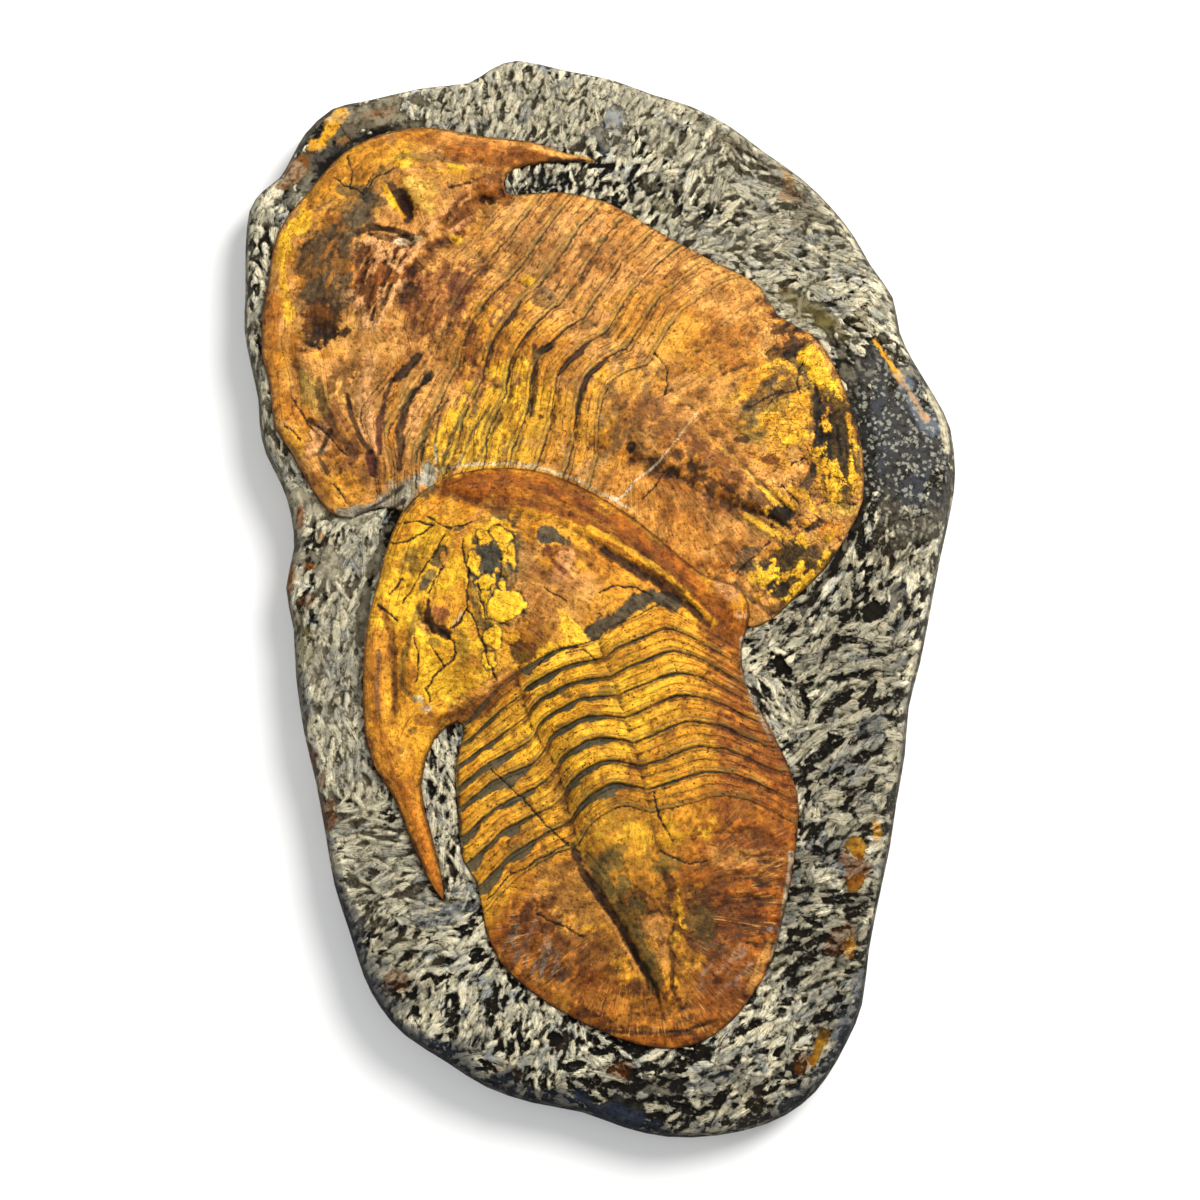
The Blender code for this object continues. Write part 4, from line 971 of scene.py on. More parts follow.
LOWER_PATCHES = (
    # Ground colours of the large regions
    ("tan", -16, 2, 18, 16, 60, 0.6), ("orange", 4, 10, 16, 8, -35, 0.6),
    ("yellow", -60, 12, 22, 11, 62, 0.8), ("yellow", -50, -20, 17, 12, 80, 0.8),
    ("yellow", 0, -50, 36, 26, -60, 0.55), ("tan", -8, -98, 19, 13, -58, 0.5),
    ("rust", 14, -92, 44, 30, -58, 0.45), ("brown", 12, -104, 42, 26, -58, 0.28),
    ("deep_orange", 30, -70, 16, 26, 20, 0.3),
    # Head
    ("olive", -66, 12, 2.6, 3, 0, 0.5), ("orange", -58, 33, 5, 3, -20, 0.8),
    ("slate", -60, 38, 6, 4, 40, 0.75, -0.2), ("orange", -46, 31, 9, 4, 20, 0.7, 0.1),
    ("slate", -53.5, 15.5, 2.2, 3.6, -35, 0.85, -0.5), ("gold", -52.5, 15, 0.9, 1.6, 0, 0.9, 0.5),
    ("slate", -57.5, 8.5, 1.6, 2.4, -30, 0.75, -0.4), ("slate", -47, 24.5, 2.8, 1.2, 15, 0.8, -0.3),
    ("yellow", -36, 24, 6, 3.4, 10, 0.9, 0.2), ("yellow", -31, 20, 2.2, 5, 0, 0.85, 0.2),
    ("olive", -37, -8, 3, 3.5, 0, 0.55, -0.1), ("gold", -24, 25, 3.5, 2.6, 10, 0.7, 0.1),
    ("slate", -58.7, 5.8, 1.3, 2, -30, 0.85, -0.4), ("olive", -63, 14, 3.4, 4, 0, 0.6),
    ("olive", -46, -16, 3, 7, 10, 0.5), ("tan", -54.5, -4.5, 4, 6.4, 15, 0.95),
    ("red_brown", -53.5, -4, 2.6, 4.8, 18, 0.85), ("brown", -52, -10, 3, 1.6, -40, 0.9, -0.4),
    ("brown", -60.5, -1, 1, 4, 10, 0.4), ("cream", -61, -32.8, 2.4, 0.9, -10, 0.8, 0.3),
    ("beige", -58, -36, 2.2, 2, 0, 0.7, 0.2), ("yellow", -76, -9, 3.4, 3, 0, 0.9, 0.3),
    ("olive", -55, -14, 2, 1.4, 0, 0.6), ("pink", -12, 14, 5.4, 3.4, 55, 0.85, 0.3),
    ("red_brown", -16, 16.5, 3, 2.2, 40, 0.7, -0.2), ("pink", -6, 6, 8, 4, -30, 0.25),
    ("red_brown", -22, 1, 4, 3, 0, 0.45), ("red_brown", -14, 8, 7, 3, -20, 0.5, -0.1),
    ("rust", -4, 14, 9, 2, -35, 0.5, -0.1), ("brown", -26, -17, 4.6, 4.4, 60, 0.85, -0.4),
    ("rust", -22, -11, 7, 6, 50, 0.7, -0.2), ("yellow", -10, -10, 3.4, 3.6, 0, 0.8, 0.2),
    ("yellow", -15, -16, 5, 2.2, 20, 0.8, 0.2), ("pink", 43.5, 3.5, 5.6, 3.6, 125, 0.95, 0.4),
    ("pink", 47.5, -4.5, 2.8, 2.2, 0, 0.9, 0.4), ("yellow", 38.6, -6.6, 1.2, 1.2, 0, 0.95, 0.3),
    ("yellow", 28.6, 0.6, 1.4, 0.9, 0, 0.9, 0.2), ("rust", 40, -11, 9, 3.4, -20, 0.6, -0.1),
    ("gold", 8, 8.5, 3.4, 2, -30, 0.5, 0.1),
    # Behind the head
    ("tan", -36, -30, 7, 2, 38, 0.6, 0.2), ("black", -47, -42.5, 3.4, 1.6, 30, 0.9, -0.6),
    ("rust", -40, -37, 6, 2.4, 38, 0.6, -0.2), ("rust", -24, -33, 2.2, 2.4, 0, 0.85, -0.3),
    ("brown", -11, -32, 2, 1.4, 0, 0.7, -0.2), ("yellow", -8, -27, 4.4, 2, 15, 0.95, 0.3),
    ("yellow", -14, -30, 4, 1.4, 20, 0.9, 0.3), ("olive", 3, -30, 4, 2, 15, 0.6, -0.1),
    # Spine
    ("straw", -66, -51, 2.4, 2.2, 0, 0.7, 0.1), ("olive", -72, -51, 1.4, 2.2, 10, 0.6, -0.1),
    ("brown", -62, -43, 2.4, 1.6, 30, 0.6, -0.2), ("brown", -50.4, -97, 1.6, 3, 0, 0.7, -0.2),
    # Tail shield
    ("yellow", 8, -80, 22, 4, 8, 0.45), ("gold", 12, -90, 10, 7, -50, 0.4, 0.1),
    ("olive", 2, -88, 4.4, 3, 20, 0.7, -0.1), ("olive", 7.5, -96, 3, 3.2, 0, 0.75, -0.2),
    ("olive", 22, -88, 4.4, 3, 30, 0.65, -0.1), ("olive", 13, -103, 3, 4.4, 20, 0.7, -0.2),
    ("slate", 11, -100, 2.2, 2.2, 0, 0.6, -0.1), ("olive", 4, -84, 4, 2, 20, 0.6),
    ("yellow", 25.5, -104, 1.8, 5, 5, 0.85, 0.2), ("yellow", 25, -112, 1.6, 3.4, -10, 0.85, 0.2),
    ("tan", 19, -109, 4.4, 6, -10, 0.7, 0.2), ("brown", 12, -118, 2.4, 6, 30, 0.6, -0.2),
    ("olive", 34, -106, 4, 6, 20, 0.5), ("tan", 44, -86, 10, 3.4, -8, 0.5, 0.1),
    ("rust", 34, -92, 6, 3.4, 0, 0.55, -0.1), ("rust", 49, -105, 9, 7, 40, 0.75, -0.1),
    ("brown", 51, -106, 5, 3, 30, 0.5), ("rust", 40, -124, 9, 6, 48, 0.6),
    ("rust", 44, -132, 8, 4, 40, 0.75), ("rust", -20, -112, 10, 7, 65, 0.6, -0.1),
    ("rust", -6, -120, 12, 6, -30, 0.45, -0.1), ("rust", -32, -106, 5, 3, 60, 0.5),
    ("orange", 6, -134, 26, 5, -14, 0.55, 0.1), ("tan", 22, -120, 3, 8, 15, 0.4),
    ("deep_orange", 20, -146, 12, 2.4, -4, 0.8, 0.2), ("rust", 34, -145, 4, 2.4, 20, 0.85, 0.1),
    ("deep_orange", 58.5, -106, 2.2, 3, 0, 0.9, 0.2), ("deep_orange", 56, -111.5, 2.4, 2.6, 0, 0.9, 0.2),
    ("blue_grey", 56.5, -109, 2, 0.7, 10, 0.8, 0.1),
)

LOWER_CRUMBS = (
    ("slate", "yellow", -34, 11, 10, 20, -5, 5.5, 90, 1.4, 0.9, 0.5),
    ("olive", "yellow", -60, 11, 20, 9, 65, 5, 60, 2, 0.5, 0.2),
    ("olive", "gold", 10, -92, 15, 12, -50, 3.6, -50, 1.6, 0.85, 0.3),
    ("brown", "gold", 22, -104, 18, 14, -60, 3, -60, 2, 0.8, 0.3),
    ("red_brown", "tan", -14, 0, 15, 17, 60, 3.6, 40, 2, 0.4, 0.2),
    ("brown", "orange", -42, -34, 16, 5, 38, 2.4, 38, 3, 0.75, 0.4),
    ("olive", "gold", -50, -20, 14, 12, 80, 5, 80, 2, 0.45, 0.2),
    ("olive", "yellow", -10, -48, 36, 34, -60, 2, 20, 4, 0.35, 0.1),
    ("brown", "deep_orange", 44, -98, 16, 30, 10, 3, 10, 3, 0.85, 0.3),
    ("brown", "orange", -16, -114, 18, 14, -45, 2.8, 66, 2.6, 0.75, 0.3),
    ("brown", "gold", 16, -126, 12, 16, 30, 2.6, 60, 2, 0.6, 0.3),
    ("brown", "orange", 14, -138, 26, 7, -8, 2.2, 5, 3.5, 0.6, 0.2),
    ("rust", "grey", -20, -116, 13, 8, -48, 1.4, 68, 4.5, 0.5, 0.1),
    ("rust", "grey", 42, -122, 11, 9, 45, 1.4, 42, 4.5, 0.45, 0.1),
    ("rust", "tan", 46, -86, 15, 7, -6, 1.3, -6, 5, 0.7, 0.1),
    ("rust", "orange", 46, -40, 9, 32, 12, 1.6, -16, 4, 0.6, 0.1),
    ("rust", "deep_orange", -28, 38, 26, 7, 0, 1.6, 0, 6, 0.7, 0.1),
    ("brown", "deep_orange", 12, 18, 34, 8, -40, 1.6, -40, 7, 0.7, 0.1),
)

LOWER_STRIPES = (
    ("deep_orange", ((-50, 39), (-34, 40), (-20, 37.5), (-8, 32), (4, 25), (17, 16), (29, 6),
     (40, -4)), 4.8, 0.95), ("rust", ((-20, 37), (0, 27), (16, 16), (30, 4)), 2.2, 0.7, -0.2),
    ("rust", ((-52, 41), (-38, 42), (-25, 40.5), (-12, 36), (0, 29)), 1.6, 0.75),
    ("rust", ((-36, 35), (-16, 31.5), (0, 23.5), (10, 16)), 1.4, 0.6, -0.2),
    ("orange", ((-30, 38), (-12, 33), (4, 25)), 1, 0.5, 0.1),
    ("gold", ((-26, 30.5), (-14, 28), (-2, 22)), 1.2, 0.5, 0.1),
    ("yellow", ((-4, 25), (5, 20.5), (14, 14.5), (23, 8.5), (31, 0.5), (38, -7)), 1.1, 0.55, 0.4),
    ("brown", ((1, 17), (9, 12.5), (18, 8.5), (27, 1.5), (33, -5)), 1.9, 0.75, -0.5),
    ("rust", ((12, 19), (24, 10), (34, 0), (41, -8)), 0.8, 0.7, -0.2),
    ("tan", ((-37.5, 33.5), (-43.5, 26), (-50, 19), (-53, 11)), 0.8, 0.7, 0.2),
    ("brown", ((-57.3, 0), (-57.6, -5), (-55, -9.5), (-51, -12)), 1.3, 0.95, -0.8),
    ("slate", ((-43, 12), (-42.5, 4), (-41, -3), (-38, -12)), 1.3, 0.6, -0.3),
    ("slate", ((-30, 22), (-28.5, 15), (-29, 6)), 1.2, 0.6, -0.2),
    ("cream", ((-46, -4), (-49, -8)), 0.6, 0.6, 0.1),
    ("olive", ((-60, 0), (-63, -10), (-66, -20), (-66, -29), (-62, -33)), 1, 0.65, -0.3),
    ("pink", ((-9.5, 17), (-9, 13.5), (-12, 10.5)), 0.9, 0.95, 0.4),
    ("red_brown", ((-17.5, 18), (-16, 13), (-12, 10)), 1, 0.85, -0.3),
    ("slate", ((-2, -9.5), (3, -7), (9, -4), (13, 0), (18, 1.6), (25, -1)), 2.5, 0.95, -0.6),
    ("rust", ((-60, -40), (-46, -38), (-36, -32), (-26, -24)), 3, 0.7, -0.2),
    ("tan", ((-50, -36), (-40, -30), (-30, -24)), 0.9, 0.6, 0.3),
    ("orange", ((-76, -14), (-77, -30), (-74, -47), (-67, -64), (-60, -82), (-54, -95)), 5.5, 0.85),
    ("deep_orange", ((-75, -20), (-74, -40), (-68, -58), (-60, -78), (-53, -96)), 1.6, 0.6),
    ("rust", ((-73, -2), (-69.5, -10), (-69, -22), (-68, -36)), 1.3, 0.8, -0.3),
    ("slate", ((-74, -17), (-74.5, -30), (-73.5, -38)), 0.8, 0.6, -0.1),
    ("gold", ((-70, -24), (-70.5, -36), (-69, -50)), 1, 0.6, 0.1),
    ("rust", ((-77.5, -46), (-72, -60), (-64, -78), (-57, -92)), 0.9, 0.7, -0.1),
    ("brown", ((-9.5, -81.5), (-5.5, -91), (3, -102), (10, -114), (17, -128)), 1.5, 0.92, -0.7),
    ("olive", ((-3, -86), (6, -101), (13, -113), (19, -126)), 2.4, 0.65, -0.2),
    ("tan", ((1, -104), (7, -112), (13, -124)), 0.8, 0.6, 0.3),
    ("rust", ((24, -96), (26, -112), (24, -127)), 0.9, 0.6, -0.3),
    ("brown", ((2, -142.6), (14, -143.4), (28, -142.6), (38, -139)), 0.6, 0.8, -0.4),
    ("pale", ((63.5, -84), (61.5, -98), (60.5, -108), (57, -119)), 0.8, 0.75, 0.1),
    ("tan", ((56, -112), (53, -122), (50, -129)), 1.4, 0.7, 0.1),
    ("pale", ((47.5, -12), (47, -22), (51, -33), (57, -46)), 0.6, 0.6),
    ("black", ((-47.5, -56), (-47, -70), (-45.5, -84)), 0.6, 0.8, -0.2),
    ("yellow", ((-45, -76), (-44, -88)), 0.7, 0.8, 0.2),
)

LOWER_PEBBLES = (
    (-39.3, 21.3, 2.6, 2.6, 0), (-32.5, 22.5, 4, 3, -20), (-29, 15, 1.5, 4.2, 5), (-41.6, 12.5, 1.8, 4, 5),
    (-38.2, 6.4, 3.3, 2.9, 0), (-35.6, 2.6, 1.5, 1.2, 30), (-32.3, 5.4, 1.2, 1.8, 0),
    (-31.5, -1.5, 6.2, 5.2, 20), (-35.2, -12, 3.2, 3.8, 10), (-37, -20, 2.2, 3.6, 15),
)

# Smooth dark stones, painted after the pebbles
LOWER_LENSES = (
    ("slate", -36.5, 14.6, 3.9, 5, -10, 1, -0.3), ("slate", -31.5, 9.6, 2.2, 2.6, 0, 0.7, -0.3),
    ("slate", -15.4, 22.3, 5, 2.6, -12, 0.95, -0.3),
)

LOWER_CRACKS = (
    ((-56, 26), (-61, 27.5), (-65.5, 27)), ((-56.5, 25.5), (-61, 22.5), (-66, 20.5), (-70, 21)),
    ((-52, 23), (-57, 14.5), (-62, 6.5), (-66, -0.5)), ((-52, 12), (-58, 3)),
    ((-75, -1), (-71, -3), (-68.5, -6)), ((-45.5, 21), (-46, 17), (-43.2, 11), (-44, 5), (-45, -3)),
    ((-45, -3), (-41, -8), (-38.5, -14), (-37.5, -20), (-34, -27)), ((-45, -3), (-47, -7), (-50, -9)),
    ((-52, -11), (-49, -13.5), (-47.6, -17), (-50, -21), (-55.5, -25), (-58, -29), (-57, -33)),
    ((-58, 29), (-54, 27), (-50, 24.5)), ((-42.5, 27), (-46, 25), (-49, 25)), ((-41, 6), (-38, -6)),
    ((-33, 14), (-33, 8)), ((-62, -12), (-60.5, -19), (-61, -27)), ((-56, -15), (-52, -22)),
    ((0, 3), (4.5, 5), (11, 5), (17, 2.5)), ((-18, 4), (-12, 0)), ((-12, -18), (-6, -17), (-1, -20)),
    ((-20, -22), (-15, -17), (-8, -16)), ((-36, -56), (-26, -66), (-17, -76), (-10, -82)),
    ((-10, -81), (-20, -86), (-30, -92), (-37, -99)), ((-21, -104), (-14, -108), (-6, -112)),
    ((18, -64), (19, -72), (24, -80)), ((20, -84), (28, -88), (36, -87)), ((-71, 3), (-66, 8)),
)


@dataclass
class Marks:
    """How strong each kind of fine mark is at every place."""

    speck: np.ndarray
    crackle: np.ndarray
    gap_width: np.ndarray
    lines: np.ndarray
    streaky: np.ndarray


def mottled(paint, low, high, amount):
    """Flakes of the upper layer: brighter and a little raised over a darker ground."""
    flake = smoothstep(low, high, cloud(paint.points, 5.5, 121, octaves=6, roughness=0.7))
    paint.colours *= (1 - amount * (1 - flake))[:, None]
    paint.rise += 0.22 * flake


def upper_looks(place):
    """Paints the upper animal."""
    paint = Paint(place.seen, "ochre")
    paint.crumbs(UPPER_CRUMBS)
    paint.patches(UPPER_PATCHES)
    paint.stripes(UPPER_STRIPES)
    paint.crumbs(UPPER_FLAKES)
    paint.cracks(UPPER_CRACKS, 0.1, 0.5)
    mottled(paint, -0.25, 0.2, 0.25)
    x = place.seen[:, 0]
    # The gap bands here are dark umber crescents painted as shade on the lower half of the axial rings, over
    # a shallow groove in the relief
    uneven = 0.7 + 1.4 * cloud(place.points, 9, 131)
    on_low_side = smoothstep(0.9, 0.2, place.lobe) * smoothstep(-1.1, -0.8, place.lobe)
    on_low_side *= smoothstep(-50, -10, x)
    gap_width = 0.17 * on_low_side + 0.1 * smoothstep(1.4, 2.2, place.lobe) * smoothstep(-30, -60, x)
    gap_width *= np.maximum(uneven, 0.0)
    front_of_body = smoothstep(-62, -38, x) + smoothstep(88, 72, place.seen[:, 1])
    lines = place.thorax * np.clip(front_of_body, 0.0, 1.0)
    crackle = 0.25 + 0.75 * smoothstep(48, 60, x)
    speck = 0.35 + 0.4 * smoothstep(-60, -30, x)
    streaky = np.maximum(0.8 * place.tail * smoothstep(0.6, 1.2, -place.lobe), 0.25 * place.thorax)
    return paint, Marks(speck, crackle, gap_width, lines, streaky)


def lower_looks(place):
    """Paints the lower animal."""
    paint = Paint(place.seen, "gold")
    x, y = place.seen[:, 0], place.seen[:, 1]
    right_edge = smoothstep(34, 43, x + 4 * paint.ragged) * smoothstep(0, -8, y)
    left_edge = place.tail * smoothstep(26, 17, place.depth + 5 * paint.ragged)
    paint.wash("deep_orange", 0.95 * np.maximum(right_edge, left_edge))
    paint.wash("rust", 0.6 * np.maximum(right_edge, left_edge) * smoothstep(-0.4, 0.5, paint.ragged))
    paint.crumbs(LOWER_CRUMBS)
    paint.patches(LOWER_PATCHES)
    paint.stripes(LOWER_STRIPES)
    paint.pebbles("yellow", "slate", LOWER_PEBBLES)
    paint.patches(LOWER_LENSES)
    paint.cracks(LOWER_CRACKS, 0.14, 0.6)
    mottled(paint, -0.35, 0.1, 0.2)
    uneven = np.maximum(0.9 + 0.7 * cloud(place.points, 9, 131), 0.35)
    ring = smoothstep(0.9, 0.2, place.lobe) * smoothstep(-1.0, -0.7, place.lobe)
    left = smoothstep(-1.3, -2.2, place.lobe)
    right = smoothstep(0.9, 1.6, place.lobe) * smoothstep(3.2, 2.2, place.lobe)
    gap_width = (0.42 * ring + 0.34 * left + 0.09 * right) * uneven
    crackle = 0.2 + 0.3 * place.head * smoothstep(-22, -30, x)
    speck = 0.9 * place.thorax + 0.25
    streaky = place.tail * smoothstep(30, 15, place.depth) + place.thorax * smoothstep(34, 42, x)
    return paint, Marks(speck, crackle, gap_width, place.thorax * 1.0, streaky)


def flow_places(place):
    """Distances along and across the fine lines: along the segments, round the head and tail."""
    rear = np.array(place.animal.rear)
    middle = rear + place.animal.flow_middle * (np.array(place.animal.front) - rear)
    offset = place.seen - middle
    round_tail = np.arctan2(offset[:, 1], offset[:, 0]) * 40
    u = np.where(place.thorax, place.number * SEGMENT_LENGTH, place.depth)
    v = np.where(place.thorax, place.t, place.s + place.t)
    behind = place.number >= SEGMENTS
    return np.where(behind, round_tail, u), np.where(behind, np.hypot(*offset.T), v)


# How many times a surface is evened out to find its hollows
HOLLOW_ROUNDS = 14


def relaxed(values, faces, rounds):
    """Values evened out over the neighbours in a mesh."""
    start = faces.ravel()
    end = np.roll(faces, -1, axis=1).ravel()
    count = np.bincount(start, minlength=len(values)) + np.bincount(end, minlength=len(values))
    for _ in range(rounds):
        total = np.bincount(start, values[end], len(values)) + np.bincount(end, values[start], len(values))
        values = total / count
    return values


GAP_EDGE = 0.05
GAP_DEPTH = 0.55
PLEURAL_PLACE = 0.55
PLEURAL_WIDTH = 0.07
PLEURAL_DEPTH = 0.4
FINE_LINE_RISE = 0.2
SHARD_SIZE = 5.0
SHARD_TILT = 0.3
SHARD_CRACK = 0.35
WEAR = 0.3
FINE_WEAR = 0.16
FINE_MARGIN = 1.2


def fine_relief(place, paint, marks, flow):
    """Detail of the shells: gaps between segments, fine lines, broken plates and wear."""
    u, v = flow
    gap = smoothstep(marks.gap_width + GAP_EDGE, marks.gap_width - GAP_EDGE, place.share) * marks.lines
    pleural = np.exp(-((place.share - PLEURAL_PLACE) / PLEURAL_WIDTH) ** 2)
    pleural *= ~place.on_lobe * place.thorax
    lines = smooth_noise(u * 0.8, v * 0.09, 31) + 0.5 * smooth_noise(u * 1.7, v * 0.15, 33)
    crack_gap, plate = shards(place.points + 0.8 * paint.ragged[:, None], SHARD_SIZE, 41)
    broken = marks.crackle * (SHARD_TILT * plate - SHARD_CRACK * smoothstep(0.16, 0.0, crack_gap))
    worn = WEAR * cloud(place.points, 6.0, 43) + FINE_WEAR * cloud(place.points, 1.7, 47, octaves=2)
    rise = paint.rise + worn + broken - GAP_DEPTH * gap - PLEURAL_DEPTH * pleural
    return (rise + FINE_LINE_RISE * lines) * smoothstep(0.0, FINE_MARGIN, place.depth)


def build_shell(animal, loop, cover, looks):
    """One fossil as a closed mesh, without the part that another covers."""
    lattice = hexagon_lattice(loop, SHELL_SPACING)
    lattice = lattice[depth_in(lattice, loop) > SHELL_SPACING * EDGE_CLEAR]
    loops = [walked(loop, SHELL_SPACING)]
    if cover is not None:
        lattice = without(lattice, cover, SHELL_SPACING * EDGE_CLEAR)
        loops.append(walked(cover, SHELL_SPACING))
    points, faces = triangulated(lattice, loops)
    centres = points[faces].mean(axis=1)
    chosen = inside(centres, loop)
    if cover is not None:
        chosen &= ~inside(centres, cover)
    used, faces = np.unique(faces[chosen], return_inverse=True)
    points = points[used]
    faces = faces.reshape(-1, 3)

    place = Surface(animal, points)
    paint, marks = looks(place)
    flow = flow_places(place)
    heights = main_relief(place) + fine_relief(place, paint, marks, flow)
    heights = np.minimum(heights, cad_box[1].z / MM - TOP_CLEAR)
    hollow = heights - relaxed(heights, faces, HOLLOW_ROUNDS)

    floor = POCKET_FLOOR + 2 * GAP
    block_points, rim, block_faces = closed_block(points, faces, floor)
    both = np.concatenate((np.arange(len(points)), rim))
    heights = np.concatenate((heights, np.full(len(rim), floor)))
    attributes = {
        "tint": paint.colours,
        "marks": np.column_stack((paint.crack, marks.speck, marks.crackle)),
        "flow": np.column_stack((*flow, marks.streaky)),
        "segment": np.column_stack((place.number, marks.gap_width, marks.lines)),
        "hollow": hollow,
    }
    attributes = {key: values[both] for key, values in attributes.items()}
    shell = make_mesh(f"{animal.name}_shell", block_points, heights, block_faces, attributes)
    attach(shell, "root")
    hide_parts(animal.name)
    return shell


ROCK_PATCHES = (
    # Smooth top left corner
    ("mud", -82, 164, 17, 7, 22, 1), ("mud", -98, 152, 8, 6, 45, 0.85),
    ("gold", -92, 163, 7, 2.2, 60, 0.9, 0.1), ("gold", -97, 157.5, 3.4, 2, 20, 0.85, 0.1),
    ("rust", -103, 150, 6, 4, 50, 0.8), ("rust", -106.5, 143.5, 3.4, 2, 30, 0.8),
    ("orange", -88, 158, 4, 1.4, 30, 0.7), ("slate_blue", -107, 137, 4, 4, 0, 0.6),
    ("steel", -96, 146, 5, 2, 45, 0.5), ("rust", -75, 168, 5, 1.5, 10, 0.5),
    # Chip along the top
    ("blue_grey", 4.5, 166, 3.4, 4.2, 10, 0.95, 0.1), ("steel", 0.5, 157, 2, 6.5, 12, 0.75, -0.2),
    ("dark_rock", -22, 144, 9, 4, 10, 0.5, -0.3),
    # Smooth slate at the right
    ("slate_blue", 101, 56, 23, 16, -78, 0.97), ("slate_blue", 92, 78, 9, 10, 0, 0.9),
    ("slate_blue", 108, 28, 9, 9, 60, 0.55), ("slate_blue", 97, 30, 9, 7, 60, 0.5),
    ("steel", 106, 38, 8, 5, 70, 0.3), ("steel", 93, 60, 4, 14, 0, 0.25),
    ("dark_rock", 95, 89, 2.2, 2, 0, 0.9, -0.5), ("black", 91, -3, 5, 3.4, 20, 0.9, -0.8),
    ("steel", 99, 1, 6, 3, 60, 0.6), ("black", 60, -22, 3, 4.4, 20, 0.95, -0.9),
    ("gold", 86, -83, 4, 3.2, 20, 0.95, 0.5), ("gold", 84.5, -94, 3, 2.2, 30, 0.9, 0.4),
    ("gold", 72, -148, 5.4, 1.8, 65, 0.95, 0.2),
    # Along the bottom
    ("dark_rock", -14, -145, 3.2, 3.4, 0, 0.9, -0.7), ("dark_rock", 20, -160, 9, 4, 0, 0.6, -0.3),
    ("dark_rock", 5, -168, 12, 4, -8, 0.7, -0.3), ("dark_rock", 52, -160, 8, 3, 20, 0.5, -0.3),
    # Left rim
    ("dark_rock", -95, 14, 6, 9, 20, 0.6, -0.2), ("dark_rock", -94, -22, 3, 8, 10, 0.5, -0.3),
    ("beige", -97, 34.5, 9, 3, -20, 0.6, 0.1),
)

# The smooth slate: x, y, half length, half width, turn
SLATE_OVAL = (101, 54, 34, 17, 95)

ROCK_STAINS = (
    # Darker regions
    ("rock", 86, -50, 70, 26, -88, 0.5), ("rock", 78, -118, 36, 18, -70, 0.5),
    ("dark_rock", 10, -170, 60, 13, 0, 0.5), ("dark_rock", 75, -155, 20, 12, 40, 0.4),
    ("rock", -72, -120, 26, 10, -50, 0.4), ("beige", 60, 140, 50, 22, -35, 0.45),
    ("beige", -20, 168, 50, 14, 0, 0.35), ("beige", 50, 108, 44, 16, -35, 0.3),
    ("beige", -105, 70, 14, 70, 0, 0.45), ("cream", -85, -20, 14, 70, 0, 0.4),
    ("beige", -70, -90, 16, 24, 30, 0.35),
    # Stains
    ("rust", 66, 139, 3.8, 2.2, -20, 0.9), ("mud", 68, 132, 4, 6, 0, 0.8),
    ("gold", 64, 145, 1.6, 4, 20, 0.7), ("mud", 44, 158, 12, 3.4, -32, 0.6),
    ("olive", 22, 136, 5, 3, 0, 0.7), ("olive", 88, 96, 5, 4, 0, 0.6), ("rust", 62, 106, 2, 1.5, 0, 0.7),
    ("olive", 70, 99, 12, 4, -38, 0.75), ("gold", 91.5, -77, 2, 3.4, 0, 0.8, 0.2),
    ("rust", 84, -89, 4, 5, 0, 0.8), ("gold", 82.5, -115, 1.7, 4, 0, 0.7, 0.1),
    ("rust", 79, -112, 5, 3, 60, 0.5), ("rust", 67, -153, 3.4, 2, 30, 0.7),
    ("rust", 8, -155, 4, 2.5, 0, 0.7), ("rust", -72, -131, 3.5, 4.5, 0, 0.8),
    ("rust", -67, -126, 4, 3, 0, 0.7), ("brown", -30, -156, 6, 2, -10, 0.7),
    ("brown", -59, -145, 3, 2.5, 0, 0.8), ("blue_grey", -52, -105, 8, 3, 15, 0.7),
    ("steel", -42, -146, 6, 4, 10, 0.7), ("steel", 92, -40, 5, 3, 35, 0.6),
    ("rust", 63, -68, 3, 3.4, 0, 0.7), ("steel", 40, -158, 8, 4, 10, 0.6),
    ("olive", 58, -120, 4, 3, 0, 0.5), ("rust", -92, -73, 3.5, 7, 0, 0.9),
    ("rust", -96, -51, 2.4, 6, 10, 0.8), ("rust", -93, -60, 3, 4, 0, 0.8), ("rust", -98, 0, 2.6, 3, 0, 0.7),
    ("deep_orange", -104, 8, 1.8, 5, 0, 0.9), ("deep_orange", -93, 22, 1.6, 2.4, 0, 0.8),
    ("deep_orange", -97, 12, 1.8, 1.6, 0, 0.8), ("deep_orange", -101, 28, 1.3, 4, 0, 0.8),
    ("steel", -98, -32, 3, 7, 10, 0.7), ("beige", -86, 29.5, 8, 2.2, -22, 0.7),
    ("olive", -99, -12, 3, 6, 0, 0.7), ("mud", 100, 20, 12, 12, 0, 0.5),
)

ROCK_STRIPES = (
    ("slate_blue", ((-96, 151), (-88, 157), (-80, 161)), 2.4, 0.6),
    ("dark_rock", ((-102, 142), (-94, 149), (-84, 157), (-74, 162), (-62, 164)), 1.6, 0.85, -0.7),
    # Painted shadow: a black band, over a real groove, where the lower animal's raised left edge shades the
    # rock
    ("black", ((-80, -14), (-78, 4), (-73, 17), (-68, 30)), 1.8, 0.85, -0.9),
    ("black", ((-3, 149), (4, 149)), 1.4, 0.9, -0.5),
    ("dark_rock", ((74, 96), (82, 84), (88, 68), (90.5, 50), (89, 34), (84, 23)), 2.4, 0.7, -0.5),
    ("olive", ((62, 104), (72, 100), (80, 92)), 3.2, 0.6, -0.2),
    ("black", ((68, -3), (76, 8), (84, 22)), 1.6, 0.6, -0.4),
    ("gold", ((93, 89), (97, 83), (101, 76), (104, 71.5)), 1, 0.95, 0.3),
    ("gold", ((104, 72), (107.5, 66.5), (110, 62)), 1.3, 0.95, 0.2),
    ("blue_grey", ((103, 73), (107, 66), (111, 59)), 2.8, 0.5),
    ("cream", ((111, 73), (116, 62), (117, 52)), 1.4, 0.6),
)
